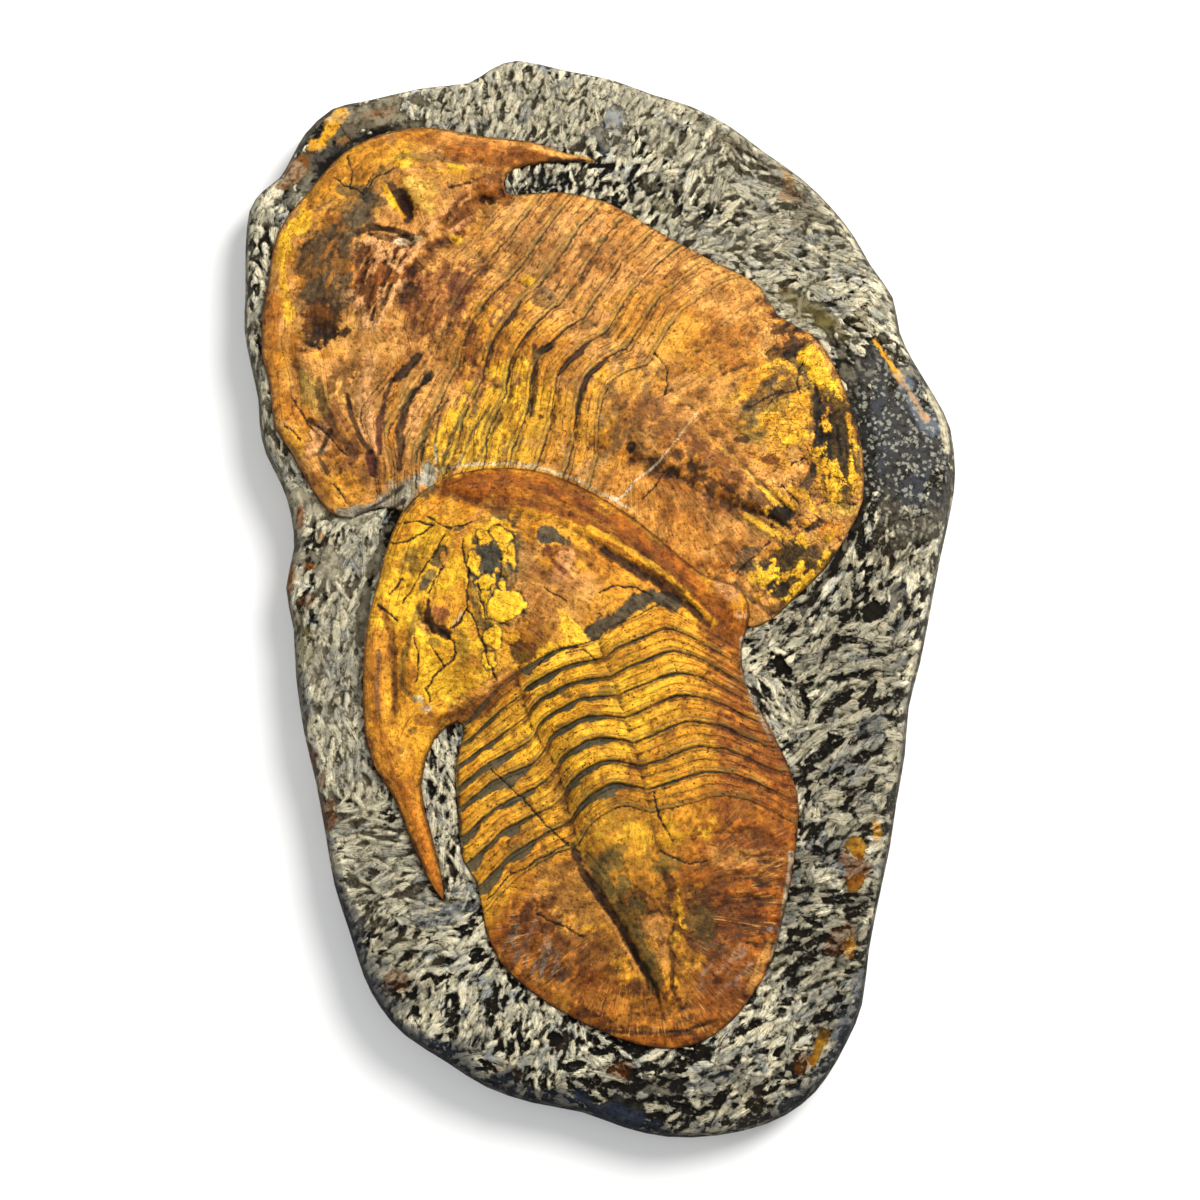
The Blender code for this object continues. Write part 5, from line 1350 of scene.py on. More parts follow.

# Painted shade: the steel and navy bands along the lower rim stand for the bluish shade on the sides that
# face away from the light. Like the stains, these lie over the strokes without hiding them
ROCK_BANDS = (
    ("steel", ((87, -125), (85, -134), (80, -143)), 3.4, 0.85),
    ("steel", ((-88, -96), (-84, -110), (-78, -126), (-67, -141), (-50, -152)), 5, 0.8),
    ("navy", ((-86, -104), (-81, -120), (-70, -139), (-52, -153)), 2.4, 0.9),
    ("navy", ((-50, -152), (-35, -160), (-15, -166), (0, -170), (20, -176)), 4.4, 0.85),
    ("steel", ((62, -168), (74, -157), (81, -144)), 3, 0.6),
    ("mud", ((30, 167), (46, 159), (58, 150), (70, 138), (80, 128)), 3, 0.6),
)

ROCK_CRACKS = (
    ((2, 162), (7, 163.5)), ((2, 162), (0.5, 168)), ((88, 96), (93, 90), (100, 80)), ((110, 60), (116, 52)),
    ((-90, 166), (-84, 158), (-78, 160)), ((86, 20), (96, 26), (110, 30)),
)


RASTER_CELL = 0.3
RASTER_MARGIN = 3.0
STROKE_SEED = 17
STROKE_SPACING = 2.2
STROKE_RISE = 1.2
STROKE_COVER = 0.92
STROKE_TILT = 0.9
STROKE_BEND = 0.03
STROKE_JITTER = 1.3
STROKE_TURN = 0.34
STROKE_SIZES = (0.5, 1.45)
STROKE_LENGTHS = (0.9, 1.4)
STROKE_WIDTHS = (0.7, 1.4)
STROKE_RAGGED = 0.45
GASH_SHARE = 0.75
GUIDE_SOFTNESS = 2.0


class StrokeMap:
    """A fine grid over the face that chisel strokes are laid on one by one."""

    def __init__(self):
        self.low = PLATE.min(axis=0) - RASTER_MARGIN
        size = PLATE.max(axis=0) + RASTER_MARGIN - self.low
        self.shape = tuple(np.ceil(size / RASTER_CELL).astype(int))
        self.edge = np.full(self.shape, -1.0)
        cells = np.indices(self.shape).reshape(2, -1).T * RASTER_CELL
        self.wander = (STROKE_RAGGED * cloud(cells, 3.2, 161, octaves=3, roughness=0.65)).reshape(self.shape)
        self.rise = np.zeros(self.shape)
        self.tone = np.zeros(self.shape)
        self.along = np.zeros(self.shape)
        self.across = np.zeros(self.shape)

    def lay(self, x, y, angle, length, width, tone, tilt, bare):
        """Puts a pointed stroke, or a bare gash, over those that were there before."""
        reach = length / 2 + width
        first = np.maximum(((np.array((x, y)) - reach - self.low) / RASTER_CELL).astype(int), 0)
        last = ((np.array((x, y)) + reach - self.low) / RASTER_CELL).astype(int) + 1
        last = np.minimum(last, self.shape)
        if np.any(last <= first):
            return
        block = (slice(first[0], last[0]), slice(first[1], last[1]))
        cell_x = self.low[0] + np.arange(first[0], last[0]) * RASTER_CELL - x
        cell_y = self.low[1] + np.arange(first[1], last[1]) * RASTER_CELL - y
        grid_x, grid_y = np.meshgrid(cell_x, cell_y, indexing="ij")
        along = grid_x * math.cos(angle) + grid_y * math.sin(angle)
        across = grid_y * math.cos(angle) - grid_x * math.sin(angle)
        bent = across + along ** 2 * tilt * STROKE_BEND
        pointed = np.abs(along / (length / 2)) ** 1.6 + np.abs(bent / (width / 2)) ** 1.4
        edge = 1 - pointed + self.wander[block]
        over = edge > 0
        rise = STROKE_RISE * (0.5 + 0.5 * smoothstep(0, 0.5, edge)) + STROKE_TILT * tilt * across / width
        if bare:
            self.edge[block] = np.where(over, -edge, self.edge[block])
            return
        self.edge[block] = np.where(over, edge, np.maximum(self.edge[block], np.maximum(edge, -1.0)))
        for grid, values in ((self.rise, rise), (self.along, along), (self.across, across)):
            grid[block] = np.where(over, values, grid[block])
        self.tone[block] = np.where(over, tone, self.tone[block])

    def read(self, grid, points):
        """The grid's values at places on the face."""
        place = (points - self.low) / RASTER_CELL
        place = np.clip(place, 0, np.array(self.shape) - 1.001)
        cell = place.astype(int)
        f = place - cell
        a = grid[cell[:, 0], cell[:, 1]] * (1 - f[:, 0]) + grid[cell[:, 0] + 1, cell[:, 1]] * f[:, 0]
        b = grid[cell[:, 0], cell[:, 1] + 1] * (1 - f[:, 0]) + grid[cell[:, 0] + 1, cell[:, 1] + 1] * f[:, 0]
        return a * (1 - f[:, 1]) + b * f[:, 1]


def chisel_strokes():
    """Lays the strokes in a random order, each as the nearest guides say."""
    draw = np.random.default_rng(STROKE_SEED)
    spots = hexagon_lattice(PLATE, STROKE_SPACING)
    spots = spots + draw.uniform(-STROKE_JITTER, STROKE_JITTER, spots.shape)
    spots = spots[inside(spots, grown(PLATE, 1.0))]
    draw.shuffle(spots)
    guides = np.array(STROKE_GUIDES, float)
    double = np.radians(guides[:, 2]) * 2
    strokes = StrokeMap()
    for x, y in spots:
        gap = np.hypot(guides[:, 0] - x, guides[:, 1] - y)
        weight = 1 / (gap + GUIDE_SOFTNESS) ** 3
        weight /= weight.sum()
        angle = math.atan2(weight @ np.sin(double), weight @ np.cos(double)) / 2
        length, width, cover = weight @ guides[:, 3], weight @ guides[:, 4], weight @ guides[:, 5]
        bare = draw.random() > STROKE_COVER * cover
        angle += draw.normal(0, STROKE_TURN)
        size = draw.uniform(*STROKE_SIZES)
        length *= size * draw.uniform(*STROKE_LENGTHS)
        width *= size * draw.uniform(*STROKE_WIDTHS)
        if bare:
            length *= GASH_SHARE
            width *= GASH_SHARE
        strokes.lay(x, y, angle, length, width, draw.random(), draw.uniform(-1, 1), bare)
    return strokes


def rock_looks(points):
    """Paints the bare rock, its smooth spots, and the stains and painted shade bands that lie over the
    strokes too.
    """
    paint = Paint(points, "rock")
    paint.wash("dark_rock", smoothstep(-0.5, 0.4, cloud(points, 7, 81)))
    paint.wash("mud", 0.3 * smoothstep(0.2, 0.8, cloud(points, 16, 83)))
    # A paler stone-grey rim, away from the bottom: partly the rim's own pale grey and partly painted light
    # that brightens its steep, dimly lit slope
    high = smoothstep(-110, -60, points[:, 1])
    paint.wash("stone_grey", 0.75 * high * smoothstep(RIM_REACH, 0.5, depth_in(points, PLATE)))
    paint.cover[:] = 0
    paint.patches(ROCK_PATCHES)
    paint.stripes(ROCK_STRIPES)
    paint.solid = paint.cover.copy()
    paint.patches(ROCK_STAINS)
    paint.stripes(ROCK_BANDS)
    paint.cracks(ROCK_CRACKS, 0.05, 0.4)
    return paint


def rock_relief(points, strokes, paint):
    """Height of the chiselled face."""
    depth = depth_in(points, PLATE)
    shoulder = np.interp(depth, SHOULDER_DEPTHS, SHOULDER_HEIGHTS)
    fade = smoothstep(0.0, 2.5, depth)
    laid = smoothstep(-0.2, 0.1, strokes.read(strokes.edge, points)) * (1 - paint.solid)
    rough = cloud(points, 14, 71) * 0.7 + cloud(points, 3, 75) * 0.35
    lumps = laid * strokes.read(strokes.rise, points) + rough + paint.rise - 1.1
    return np.minimum(rock_height(points), shoulder) + lumps * fade


def loop_share(points, loop):
    """Where along a closed loop each point is nearest, counted in the loop's corners."""
    ends = np.roll(loop, -1, axis=0)
    nearest = np.full(len(points), np.inf)
    result = np.zeros(len(points))
    for index, (start, end) in enumerate(zip(loop, ends)):
        run = end - start
        share = np.clip((points - start) @ run / (run @ run), 0.0, 1.0)
        gap = np.linalg.norm(points - start - share[:, None] * run, axis=1)
        result = np.where(gap < nearest, index + share, result)
        nearest = np.minimum(nearest, gap)
    return result


def loop_places(loop, shares):
    """Places on a closed loop at shares counted in its corners."""
    closed = np.vstack((loop, loop[:1]))
    corners = np.arange(len(closed))
    return np.stack([np.interp(shares, corners, closed[:, k]) for k in range(2)], axis=1)


def lower_side(edge):
    """Rows of places and heights from the widest line down to the flat back."""
    shares = loop_share(edge, PLATE)
    rows = []
    for row, (height, inset) in enumerate(LOWER_SIDE[1:], start=1):
        rough = smooth_noise(shares * 0.9, np.full(len(edge), row * 0.8), 91)
        rough += 0.5 * smooth_noise(shares * 2.7, np.full(len(edge), row * 1.9), 93)
        bite = LOWER_SIDE_ROUGHNESS * np.abs(rough) * (height > 0)
        ring = loop_places(grown(PLATE, -inset), shares)
        sideways = loop_places(outward(PLATE), shares)
        rows.append((ring - sideways * bite[:, None], np.full(len(edge), height)))
    return rows


def slab_mesh():
    """Places and triangles of the slab's face, and which triangles are in the fossils' pockets."""
    upper_pocket = grown(animal_loop(UPPER), GAP)
    lower_pocket = grown(animal_loop(LOWER), GAP)
    lattice = hexagon_lattice(PLATE, ROCK_SPACING)
    lattice = lattice[depth_in(lattice, PLATE) > EDGE_RINGS[-1] + ROCK_SPACING * RING_CLEAR]
    for pocket in (upper_pocket, lower_pocket):
        lattice = without(lattice, pocket, ROCK_SPACING * EDGE_CLEAR)
    rim = walked(PLATE, ROCK_SPACING * RING_SPACING)
    rings = [walked(grown(PLATE, -inset), ROCK_SPACING * RING_SPACING) for inset in EDGE_RINGS]
    loops = [rim, walked(upper_pocket, ROCK_SPACING), walked(lower_pocket, ROCK_SPACING)]
    points, faces = triangulated(np.concatenate([lattice] + rings), loops)
    faces = faces[inside(points[faces].mean(axis=1), PLATE)]
    centres = points[faces].mean(axis=1)
    sunk = inside(centres, upper_pocket) | inside(centres, lower_pocket)
    return points, faces, sunk


def with_pockets(points, heights, faces, sunk):
    """The face with the pockets of the fossils let down to their floor."""
    floor_part = faces[sunk]
    floor_ids = np.unique(floor_part)
    floor_of = np.full(len(points), -1)
    floor_of[floor_ids] = len(points) + np.arange(len(floor_ids))
    walls = []
    for a, b in border_edges(floor_part):
        walls.append((a, b, floor_of[b]))
        walls.append((a, floor_of[b], floor_of[a]))
    points = np.concatenate((points, points[floor_ids]))
    heights = np.concatenate((heights, np.full(len(floor_ids), POCKET_FLOOR)))
    return points, heights, [faces[~sunk], floor_of[floor_part], np.array(walls)]


def outer_ring(faces):
    """The vertices along the outer border of the face, in order."""
    outer = border_edges(faces)
    following = {int(a): int(b) for a, b in outer}
    ring = [int(outer[0][0])]
    while following[ring[-1]] != ring[0]:
        ring.append(following[ring[-1]])
    return np.array(ring)


def with_side_and_back(points, heights, faces, ring):
    """The face closed by rows of triangles down its side and by a flat back."""
    previous = ring
    for row_points, row_heights in lower_side(points[ring]):
        current = len(points) + np.arange(len(ring))
        after_previous = np.roll(previous, -1)
        after_current = np.roll(current, -1)
        faces.append(np.column_stack((previous, current, after_current)))
        faces.append(np.column_stack((previous, after_current, after_previous)))
        points = np.concatenate((points, row_points))
        heights = np.concatenate((heights, row_heights))
        previous = current
    back_loop = points[previous]
    back_edges = [(i, (i + 1) % len(back_loop)) for i in range(len(back_loop))]
    back = geometry.delaunay_2d_cdt([Vector(p) for p in back_loop], back_edges, [], 1, 0.00001)
    faces.append(np.array([[previous[back[3][k][0]] for k in reversed(face)] for face in back[2]]))
    return points, heights, np.concatenate(faces)


def rock_attributes(points, hollow, strokes):
    """What the rock's material reads at each vertex."""
    paint = rock_looks(points)
    slate = smoothstep(1.15, 0.7, oval(points, *SLATE_OVAL))
    side = smoothstep(SIDE_REACH, 0.5, depth_in(points, PLATE))
    grain = (strokes.along, strokes.across, strokes.tone)
    return {
        "tint": paint.colours,
        "marks": np.column_stack((paint.crack, paint.solid, slate)),
        "stain_and_painted_light": paint.cover - paint.solid,
        "hollow": hollow,
        "side": side,
        "stroke": strokes.read(strokes.edge, points) * (1 - side),
        "grain": np.column_stack([strokes.read(grid, points) * (1 - side) for grid in grain]),
    }


def build_rock(strokes):
    """The slab as a closed mesh with pockets for the fossils."""
    points, faces, sunk = slab_mesh()
    heights = rock_relief(points, strokes, rock_looks(points))
    face = with_pockets(points, heights, faces, sunk)
    every_points, every_heights, every_faces = with_side_and_back(*face, outer_ring(faces))
    hollow = np.zeros(len(every_points))
    hollow[:len(points)] = heights - relaxed(heights, faces, HOLLOW_ROUNDS)
    used, all_faces = np.unique(every_faces, return_inverse=True)
    all_points = every_points[used]
    attributes = rock_attributes(all_points, hollow[used], strokes)
    rock = make_mesh("chiselled_rock", all_points, every_heights[used], all_faces.reshape(-1, 3), attributes)
    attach(rock, "root")
    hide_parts("matrix_slab")
    return rock


class Nodes:
    """Short calls for building one material's node tree."""

    def __init__(self, name):
        self.material = bpy.data.materials.new(name)
        self.material.use_nodes = True
        self.tree = self.material.node_tree
        self.shader = self.tree.nodes["Principled BSDF"]

    def link(self, source, target):
        self.tree.links.new(source, target)

    def feed(self, socket, value):
        if isinstance(value, bpy.types.NodeSocket):
            self.link(value, socket)
        else:
            socket.default_value = value

    def attribute(self, name, output="Fac"):
        node = self.tree.nodes.new("ShaderNodeAttribute")
        node.attribute_name = name
        return node.outputs[output]

    def parts(self, name):
        """The three numbers of an attribute that holds three."""
        node = self.tree.nodes.new("ShaderNodeSeparateXYZ")
        self.link(self.attribute(name, "Vector"), node.inputs[0])
        return node.outputs

    def math(self, operation, first, second=0.0):
        node = self.tree.nodes.new("ShaderNodeMath")
        node.operation = operation
        self.feed(node.inputs[0], first)
        self.feed(node.inputs[1], second)
        return node.outputs[0]

    def all_of(self, *shares):
        """The product of several shares."""
        total = shares[0]
        for share in shares[1:]:
            total = self.math("MULTIPLY", total, share)
        return total

    def place(self):
        return self.tree.nodes.new("ShaderNodeTexCoord").outputs["Object"]

    def noise_node(self, scale, detail, roughness, vector):
        node = self.tree.nodes.new("ShaderNodeTexNoise")
        node.inputs["Scale"].default_value = scale
        node.inputs["Detail"].default_value = detail
        node.inputs["Roughness"].default_value = roughness
        self.link(vector or self.place(), node.inputs["Vector"])
        return node

    def noise(self, scale, detail=4.0, roughness=0.55, vector=None):
        return self.noise_node(scale, detail, roughness, vector).outputs["Fac"]

    def shaken(self, scale, amount):
        """Places moved about a little, in metres, so that a pattern isn't regular."""
        node = self.tree.nodes.new("ShaderNodeVectorMath")
        node.operation = "MULTIPLY_ADD"
        self.link(self.noise_node(scale, 3.0, 0.6, None).outputs["Color"], node.inputs[0])
        node.inputs[1].default_value = (amount, amount, amount)
        self.link(self.place(), node.inputs[2])
        return node.outputs[0]

    def cells(self, scale, feature, vector):
        node = self.tree.nodes.new("ShaderNodeTexVoronoi")
        node.feature = feature
        node.inputs["Scale"].default_value = scale
        self.link(vector, node.inputs["Vector"])
        return node.outputs["Distance"]

    def ramp(self, value, low, high, low_value=0.0, high_value=1.0):
        node = self.tree.nodes.new("ShaderNodeMapRange")
        node.interpolation_type = "SMOOTHSTEP"
        limits = {"From Min": low, "From Max": high, "To Min": low_value, "To Max": high_value}
        for name, number in limits.items():
            node.inputs[name].default_value = number
        self.link(value, node.inputs["Value"])
        return node.outputs["Result"]

    def mix(self, share, first, second, blend="MIX"):
        node = self.tree.nodes.new("ShaderNodeMix")
        node.data_type = "RGBA"
        node.blend_type = blend
        self.feed(node.inputs[0], share)
        self.feed(node.inputs[6], first)
        self.feed(node.inputs[7], second)
        return node.outputs[2]

    def toward(self, colour, name, share):
        """The colour mixed toward a palette colour."""
        return self.mix(share, colour, (*linear(name), 1.0))

    def multiply_by(self, colour, stain_and_painted_light, share):
        """The colour multiplied by another colour: for stains, and for painted shade and highlights."""
        return self.mix(share, colour, (*stain_and_painted_light, 1.0), "MULTIPLY")

    def vector(self, x, y, z):
        node = self.tree.nodes.new("ShaderNodeCombineXYZ")
        for socket, value in zip(node.inputs, (x, y, z)):
            self.feed(socket, value)
        return node.outputs[0]

    def bump(self, height, strength, distance_mm):
        node = self.tree.nodes.new("ShaderNodeBump")
        node.inputs["Strength"].default_value = strength
        node.inputs["Distance"].default_value = distance_mm * MM
        self.link(height, node.inputs["Height"])
        self.link(node.outputs["Normal"], self.shader.inputs["Normal"])


ROCK_SHINE = 0.12
SHELL_SHINE = 0.22


def rock_material():
    """Dark rock under pale strokes, each with fine scratches along it."""
    n = Nodes("chiselled_rock")
    crack, cover, slate = n.parts("marks")
    along, across, tone = n.parts("grain")
    fine = n.noise(1500.0, 4.0, 0.7)
    lumps = n.noise(420.0, 5.0, 0.65)
    scratches = n.noise(1.0, 4.0, 0.65, n.vector(
        n.math("MULTIPLY", along, 0.3), n.math("MULTIPLY", across, 2.4), n.math("MULTIPLY", tone, 40.0)))

    ragged = n.math("ADD", n.attribute("stroke"), n.ramp(lumps, 0.35, 0.65, -0.2, 0.2))
    ragged = n.math("ADD", ragged, n.ramp(scratches, 0.35, 0.65, -0.25, 0.25))
    broken = n.ramp(n.noise(230.0, 5.0, 0.7), 0.44, 0.56, -0.6, 0.6)
    ragged = n.math("ADD", ragged, n.all_of(n.attribute("side"), broken))
    worn = n.math("SUBTRACT", 1.0, n.ramp(cover, 0.25, 0.75))
    chalky = n.all_of(n.ramp(ragged, 0.08, 0.2), worn)
    chalk = n.mix(n.ramp(tone, 0.0, 0.7), (*linear("stone_grey"), 1.0), (*linear("chalk"), 1.0))
    chalk = n.toward(chalk, "blue_grey", n.ramp(n.noise(90.0, 3.0), 0.48, 0.62, 0.0, 0.5))
    chalk = n.toward(chalk, "cream", n.ramp(n.noise(260.0, 4.0), 0.44, 0.62, 0.0, 0.9))
    tint = n.attribute("tint", "Color")
    # Stains and the painted shade bands tint the chalk strokes
    chalk = n.mix(n.math("MULTIPLY", n.attribute("stain_and_painted_light"), 0.85), chalk, tint)
    chalk = n.multiply_by(chalk, (0.4, 0.38, 0.32), n.ramp(scratches, 0.4, 0.47, 1.0, 0.0))
    chalk = n.multiply_by(chalk, (0.4, 0.37, 0.31), n.ramp(fine, 0.37, 0.45, 0.8, 0.0))
    chalk = n.multiply_by(chalk, (0.5, 0.48, 0.42), n.ramp(ragged, 0.12, 0.3, 0.7, 0.0))

    ground = n.multiply_by(tint, (0.35, 0.33, 0.3), n.ramp(lumps, 0.35, 0.55, 1.0, 0.0))
    ground = n.toward(ground, "stone_grey", n.ramp(fine, 0.62, 0.75, 0.0, 0.3))
    ground = n.multiply_by(ground, (0.3, 0.27, 0.22), n.all_of(worn, n.ramp(lumps, 0.42, 0.54)))
    ground = n.toward(ground, "stone_grey", n.all_of(worn, n.ramp(n.noise(700.0, 3.0), 0.58, 0.66), 0.4))
    pecks = n.cells(520.0, "F1", n.shaken(700.0, 0.0025))
    pecked = n.all_of(n.ramp(pecks, 0.3, 0.46, 1.0, 0.0), n.ramp(n.noise(200.0, 3.0), 0.36, 0.5), slate, 0.8)
    ground = n.toward(ground, "stone_grey", n.all_of(pecked, n.ramp(fine, 0.3, 0.5, 0.4, 1.0)))
    colour = n.mix(chalky, ground, chalk)
    # Painted shade darkens the hollows and painted highlights brighten the rises, for a look of relief
    hollow = n.attribute("hollow")
    colour = n.multiply_by(colour, (0.2, 0.18, 0.15), n.ramp(hollow, -0.5, -0.02, 0.6, 0.0))
    colour = n.multiply_by(colour, (1.25, 1.25, 1.25), n.ramp(hollow, 0.08, 0.5))
    shaken_crack = n.math("ADD", crack, n.ramp(fine, 0.3, 0.7, -0.2, 0.2))
    colour = n.toward(colour, "black", n.ramp(shaken_crack, 0.05, 0.3, 0.9, 0.0))
    n.link(colour, n.shader.inputs["Base Color"])
    n.link(n.ramp(fine, 0.3, 0.7, 0.7, 0.95), n.shader.inputs["Roughness"])
    n.shader.inputs["Specular IOR Level"].default_value = ROCK_SHINE
    height = n.math("ADD", n.math("MULTIPLY", scratches, chalky), n.math("MULTIPLY", fine, 0.6))
    n.bump(n.math("ADD", height, lumps), 1.0, 0.9)
    return n.material


# Dark stain for grain and lines, and the colour of the painted shade in hollows
DARK_STAIN_AND_SHADE = (0.2, 0.15, 0.1)


class Grain:
    """The noises that break up the shell's colours and its surface."""

    def __init__(self, n):
        u, v, self.streaky = n.parts("flow")
        self.fine = n.noise(1600.0, 4.0, 0.7)
        self.flakes = n.noise(560.0, 6.0, 0.72)
        self.clouds = n.noise(170.0, 5.0, 0.65)
        along = n.vector(n.math("MULTIPLY", u, 1.5), n.math("MULTIPLY", v, 0.16), 0.0)
        self.streaks = n.noise(1.0, 4.0, 0.65, along)


def shell_stains_and_painted_light(n, colour, grain):
    """Mottles and streaks of the shell, painted glints on its flakes, and painted shade that darkens hollows
    with painted highlights on rises.
    """
    broad = n.noise(60.0, 5.0, 0.65)
    for factors, pattern, *limits in (
        ((0.58, 0.48, 0.32), broad, 0.42, 0.54, 0.75, 0.0),
        ((0.6, 0.52, 0.34), grain.clouds, 0.38, 0.5, 0.8, 0.0),
        ((0.4, 0.32, 0.18), grain.flakes, 0.38, 0.46, 0.9, 0.0),
        ((0.4, 0.3, 0.16), grain.streaks, 0.36, 0.43, 0.85, 0.0),
        # Painted glints: the tops of the flakes brightened
        ((1.35, 1.3, 1.3), grain.flakes, 0.54, 0.62),
        (DARK_STAIN_AND_SHADE, grain.fine, 0.36, 0.42, 0.85, 0.0),
    ):
        colour = n.multiply_by(colour, factors, n.ramp(pattern, *limits))
    tan_clouds = n.ramp(grain.clouds, 0.45, 0.6)
    grey_clouds = n.ramp(grain.clouds, 0.48, 0.58)
    tan_streak = n.all_of(n.ramp(grain.streaks, 0.54, 0.62), tan_clouds, grain.streaky, 0.7)
    grey_streak = n.all_of(n.ramp(grain.streaks, 0.62, 0.7), grain.streaky, grey_clouds, 0.5)
    colour = n.toward(colour, "tan", tan_streak)
    colour = n.toward(colour, "grey", grey_streak)
    # Painted shade darkens the hollows and painted highlights brighten the rises, for a look of relief
    hollow = n.attribute("hollow")
    colour = n.multiply_by(colour, DARK_STAIN_AND_SHADE, n.ramp(hollow, -0.6, -0.03, 0.85, 0.0))
    return n.multiply_by(colour, (1.3, 1.25, 1.3), n.ramp(hollow, 0.05, 0.35))


def shell_joints(n, colour, gap_and_shade_colour, grain):
    """Gaps, painted shade and lines of the segments, with the mask of the olive painted shade behind each
    line; the upper animal's gap bands are umber crescents of painted shade.
    """
    segment, gap_width, lines = n.parts("segment")
    number = n.math("ADD", segment, n.ramp(grain.flakes, 0.3, 0.7, -0.04, 0.04))
    share = n.math("FRACT", number)
    band = n.math("SUBTRACT", gap_width, share)
    # Gap bands: on the lower animal the real grey filled gaps, on the upper one dark umber crescents painted
    # as the rings' shade
    gap_and_shade_band = n.all_of(n.ramp(band, -0.01, 0.02), n.ramp(share, 0.0, 0.01), lines, 0.92)
    colour = n.toward(colour, gap_and_shade_colour, gap_and_shade_band)
    centred = n.math("ABSOLUTE", n.math("SUBTRACT", n.math("FRACT", n.math("ADD", number, 0.5)), 0.5))
    centred = n.math("DIVIDE", centred, n.ramp(grain.clouds, 0.35, 0.65, 0.4, 1.4))
    shade = n.all_of(n.ramp(share, 0.0, 0.3, 0.75, 0.0), n.ramp(grain.clouds, 0.4, 0.56), lines)
    colour = n.multiply_by(colour, (0.6, 0.48, 0.32), shade)
    broken_line = n.ramp(n.noise(220.0, 3.0, 0.6), 0.38, 0.52, 0.25, 1.0)
    colour = n.toward(colour, "black", n.all_of(n.ramp(centred, 0.015, 0.055, 0.92, 0.0), lines, broken_line))
    thirds = n.math("FRACT", n.math("MULTIPLY", number, 3.0))
    thirds = n.math("ABSOLUTE", n.math("SUBTRACT", thirds, 0.5))
    dashed = n.all_of(n.ramp(thirds, 0.04, 0.13, 0.85, 0.0), n.ramp(grain.streaks, 0.42, 0.56), lines)
    colour = n.multiply_by(colour, DARK_STAIN_AND_SHADE, dashed)
    # Mask of an olive band of painted shade just before each next line
    behind = n.all_of(n.ramp(share, 0.72, 0.82), n.ramp(grain.clouds, 0.4, 0.55), lines, 0.45)
    return colour, behind


def shell_damage(n, colour, behind, grain):
    """Broken plates and crumbs, an olive band of painted shade behind the lines, pores and cracks."""
    crack, speck, crackle = n.parts("marks")
    plates = n.cells(250.0, "DISTANCE_TO_EDGE", n.shaken(400.0, 0.003))
    crumbs = n.cells(720.0, "DISTANCE_TO_EDGE", n.shaken(900.0, 0.001))
    broken_crumbs = n.all_of(n.ramp(crumbs, 0.02, 0.08, 0.8, 0.0), n.ramp(grain.clouds, 0.5, 0.6))
    broken = n.math("MAXIMUM", n.ramp(plates, 0.01, 0.05, 1.0, 0.0), broken_crumbs)
    colour = n.multiply_by(colour, (0.1, 0.08, 0.06), n.all_of(broken, crackle, n.ramp(grain.flakes, 0.4, 0.55)))
    # Painted shade: the olive band behind each line
    colour = n.toward(colour, "olive", behind)
    pores = n.cells(640.0, "F1", n.place())
    pore = n.all_of(n.ramp(pores, 0.14, 0.26, 1.0, 0.0), n.ramp(n.noise(300.0, 2.0), 0.46, 0.56), speck)
    colour = n.toward(colour, "black", n.math("MULTIPLY", pore, 0.9))
    shaken_crack = n.math("ADD", crack, n.ramp(grain.fine, 0.3, 0.7, -0.25, 0.25))
    return n.toward(colour, "black", n.ramp(shaken_crack, 0.02, 0.32, 0.95, 0.0))


def shell_material(name, gap_and_shade_colour):
    """Mineral shell: painted tint with gaps, cracks, pores, streaks and broken flakes."""
    n = Nodes(name)
    grain = Grain(n)
    colour = shell_stains_and_painted_light(n, n.attribute("tint", "Color"), grain)
    colour, behind = shell_joints(n, colour, gap_and_shade_colour, grain)
    n.link(shell_damage(n, colour, behind, grain), n.shader.inputs["Base Color"])
    n.link(n.ramp(grain.flakes, 0.35, 0.7, 0.72, 0.42), n.shader.inputs["Roughness"])
    n.shader.inputs["Specular IOR Level"].default_value = SHELL_SHINE
    height = n.math("ADD", n.math("MULTIPLY", grain.fine, 0.5), n.math("MULTIPLY", grain.flakes, 1.2))
    height = n.math("ADD", height, n.math("MULTIPLY", grain.streaks, 0.8))
    n.bump(height, 0.8, 0.5)
    return n.material


# Camera: how the photograph looks down on the plate
CAMERA_TILT = math.radians(8)
CAMERA_DISTANCE = 1.2
CAMERA_AIM = (0.0, 0.0)
CAMERA_LENS = 108.0
CAMERA_SENSOR = 36.0


def make_camera():
    aim = Vector((*(np.array(CAMERA_AIM) - MIDDLE), ROCK_TOP)) * MM
    data = bpy.data.cameras.new("photo_camera")
    data.lens = CAMERA_LENS
    data.sensor_width = CAMERA_SENSOR
    data.clip_start = 0.01
    camera = bpy.data.objects.new("photo_camera", data)
    camera.location = aim + CAMERA_DISTANCE * Vector((0, -math.sin(CAMERA_TILT), math.cos(CAMERA_TILT)))
    camera.rotation_euler = (CAMERA_TILT, 0, 0)
    bpy.context.scene.collection.objects.link(camera)
    bpy.context.scene.camera = camera


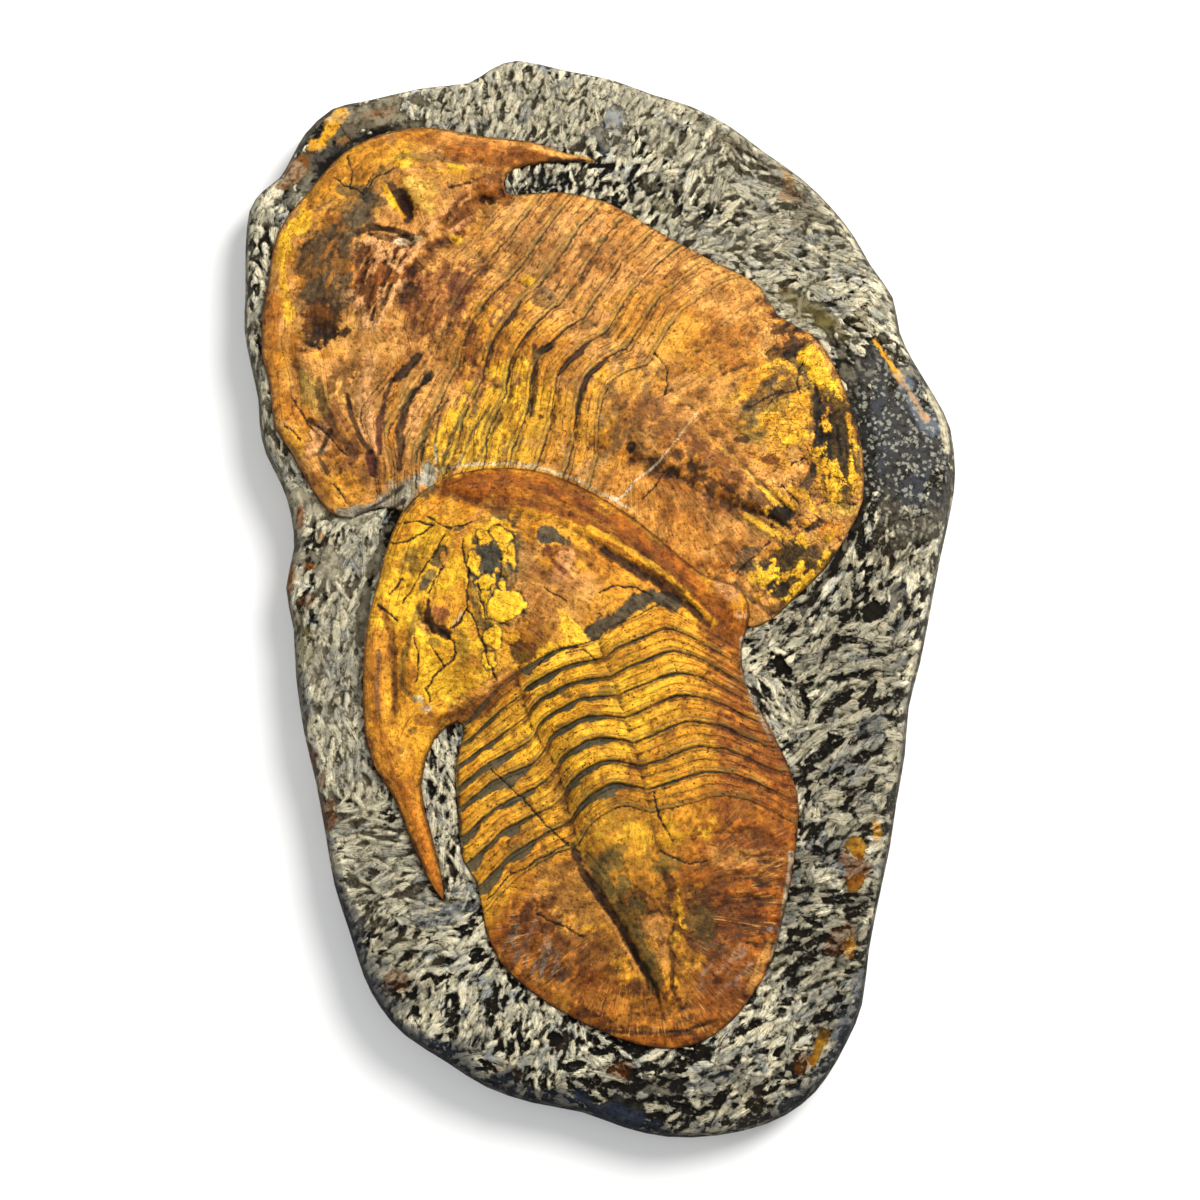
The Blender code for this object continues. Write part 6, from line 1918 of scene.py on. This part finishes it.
def area_light(name, place, size, power, colour):
    data = bpy.data.lights.new(name, "AREA")
    data.shape = "DISK"
    data.size = size
    data.energy = power
    data.color = colour
    light = bpy.data.objects.new(name, data)
    light.location = place
    light.rotation_euler = (-Vector(place)).to_track_quat("-Z", "Y").to_euler()
    bpy.context.scene.collection.objects.link(light)


# Lights: place in metres, size, power, colour
LIGHTS = {
    "key": ((0.62, 0.55, 0.95), 0.7, 23, (1.0, 0.98, 0.94)),
    "fill": ((-0.8, -0.4, 1.2), 1.2, 6, (0.97, 0.99, 1.0)),
}
WORLD_STRENGTH = 0.5
FLOOR_REACH = 3.0
FLOOR_DROP = 0.0002
FLOOR_COLOUR = (0.9, 0.9, 0.9, 1)
FLOOR_ROUGHNESS = 0.9


def make_stage():
    """A pale floor and soft studio light from the upper right."""
    bm = bmesh.new()
    bmesh.ops.create_grid(bm, x_segments=1, y_segments=1, size=FLOOR_REACH)
    mesh = bpy.data.meshes.new("floor")
    bm.to_mesh(mesh)
    bm.free()
    floor = bpy.data.objects.new("floor", mesh)
    floor.location.z = -FLOOR_DROP
    bpy.context.scene.collection.objects.link(floor)
    n = Nodes("floor")
    n.shader.inputs["Base Color"].default_value = FLOOR_COLOUR
    n.shader.inputs["Roughness"].default_value = FLOOR_ROUGHNESS
    mesh.materials.append(n.material)
    for name, light in LIGHTS.items():
        area_light(name, *light)
    world = bpy.data.worlds.new("studio")
    world.use_nodes = True
    background = world.node_tree.nodes["Background"]
    background.inputs["Color"].default_value = (1.0, 1.0, 1.0, 1)
    background.inputs["Strength"].default_value = WORLD_STRENGTH
    bpy.context.scene.world = world


def main():
    bpy.context.scene.view_settings.view_transform = "Standard"
    strokes = chisel_strokes()
    rock = build_rock(strokes)
    rock.data.materials.append(rock_material())
    cover = grown(animal_loop(LOWER), GAP)
    upper = build_shell(UPPER, animal_loop(UPPER), cover, upper_looks)
    # The upper shell's gap colour, umber, is painted shade
    upper.data.materials.append(shell_material("upper_shell", "umber"))
    lower = build_shell(LOWER, animal_loop(LOWER), None, lower_looks)
    lower.data.materials.append(shell_material("lower_shell", "gap"))
    make_stage()
    make_camera()


main()
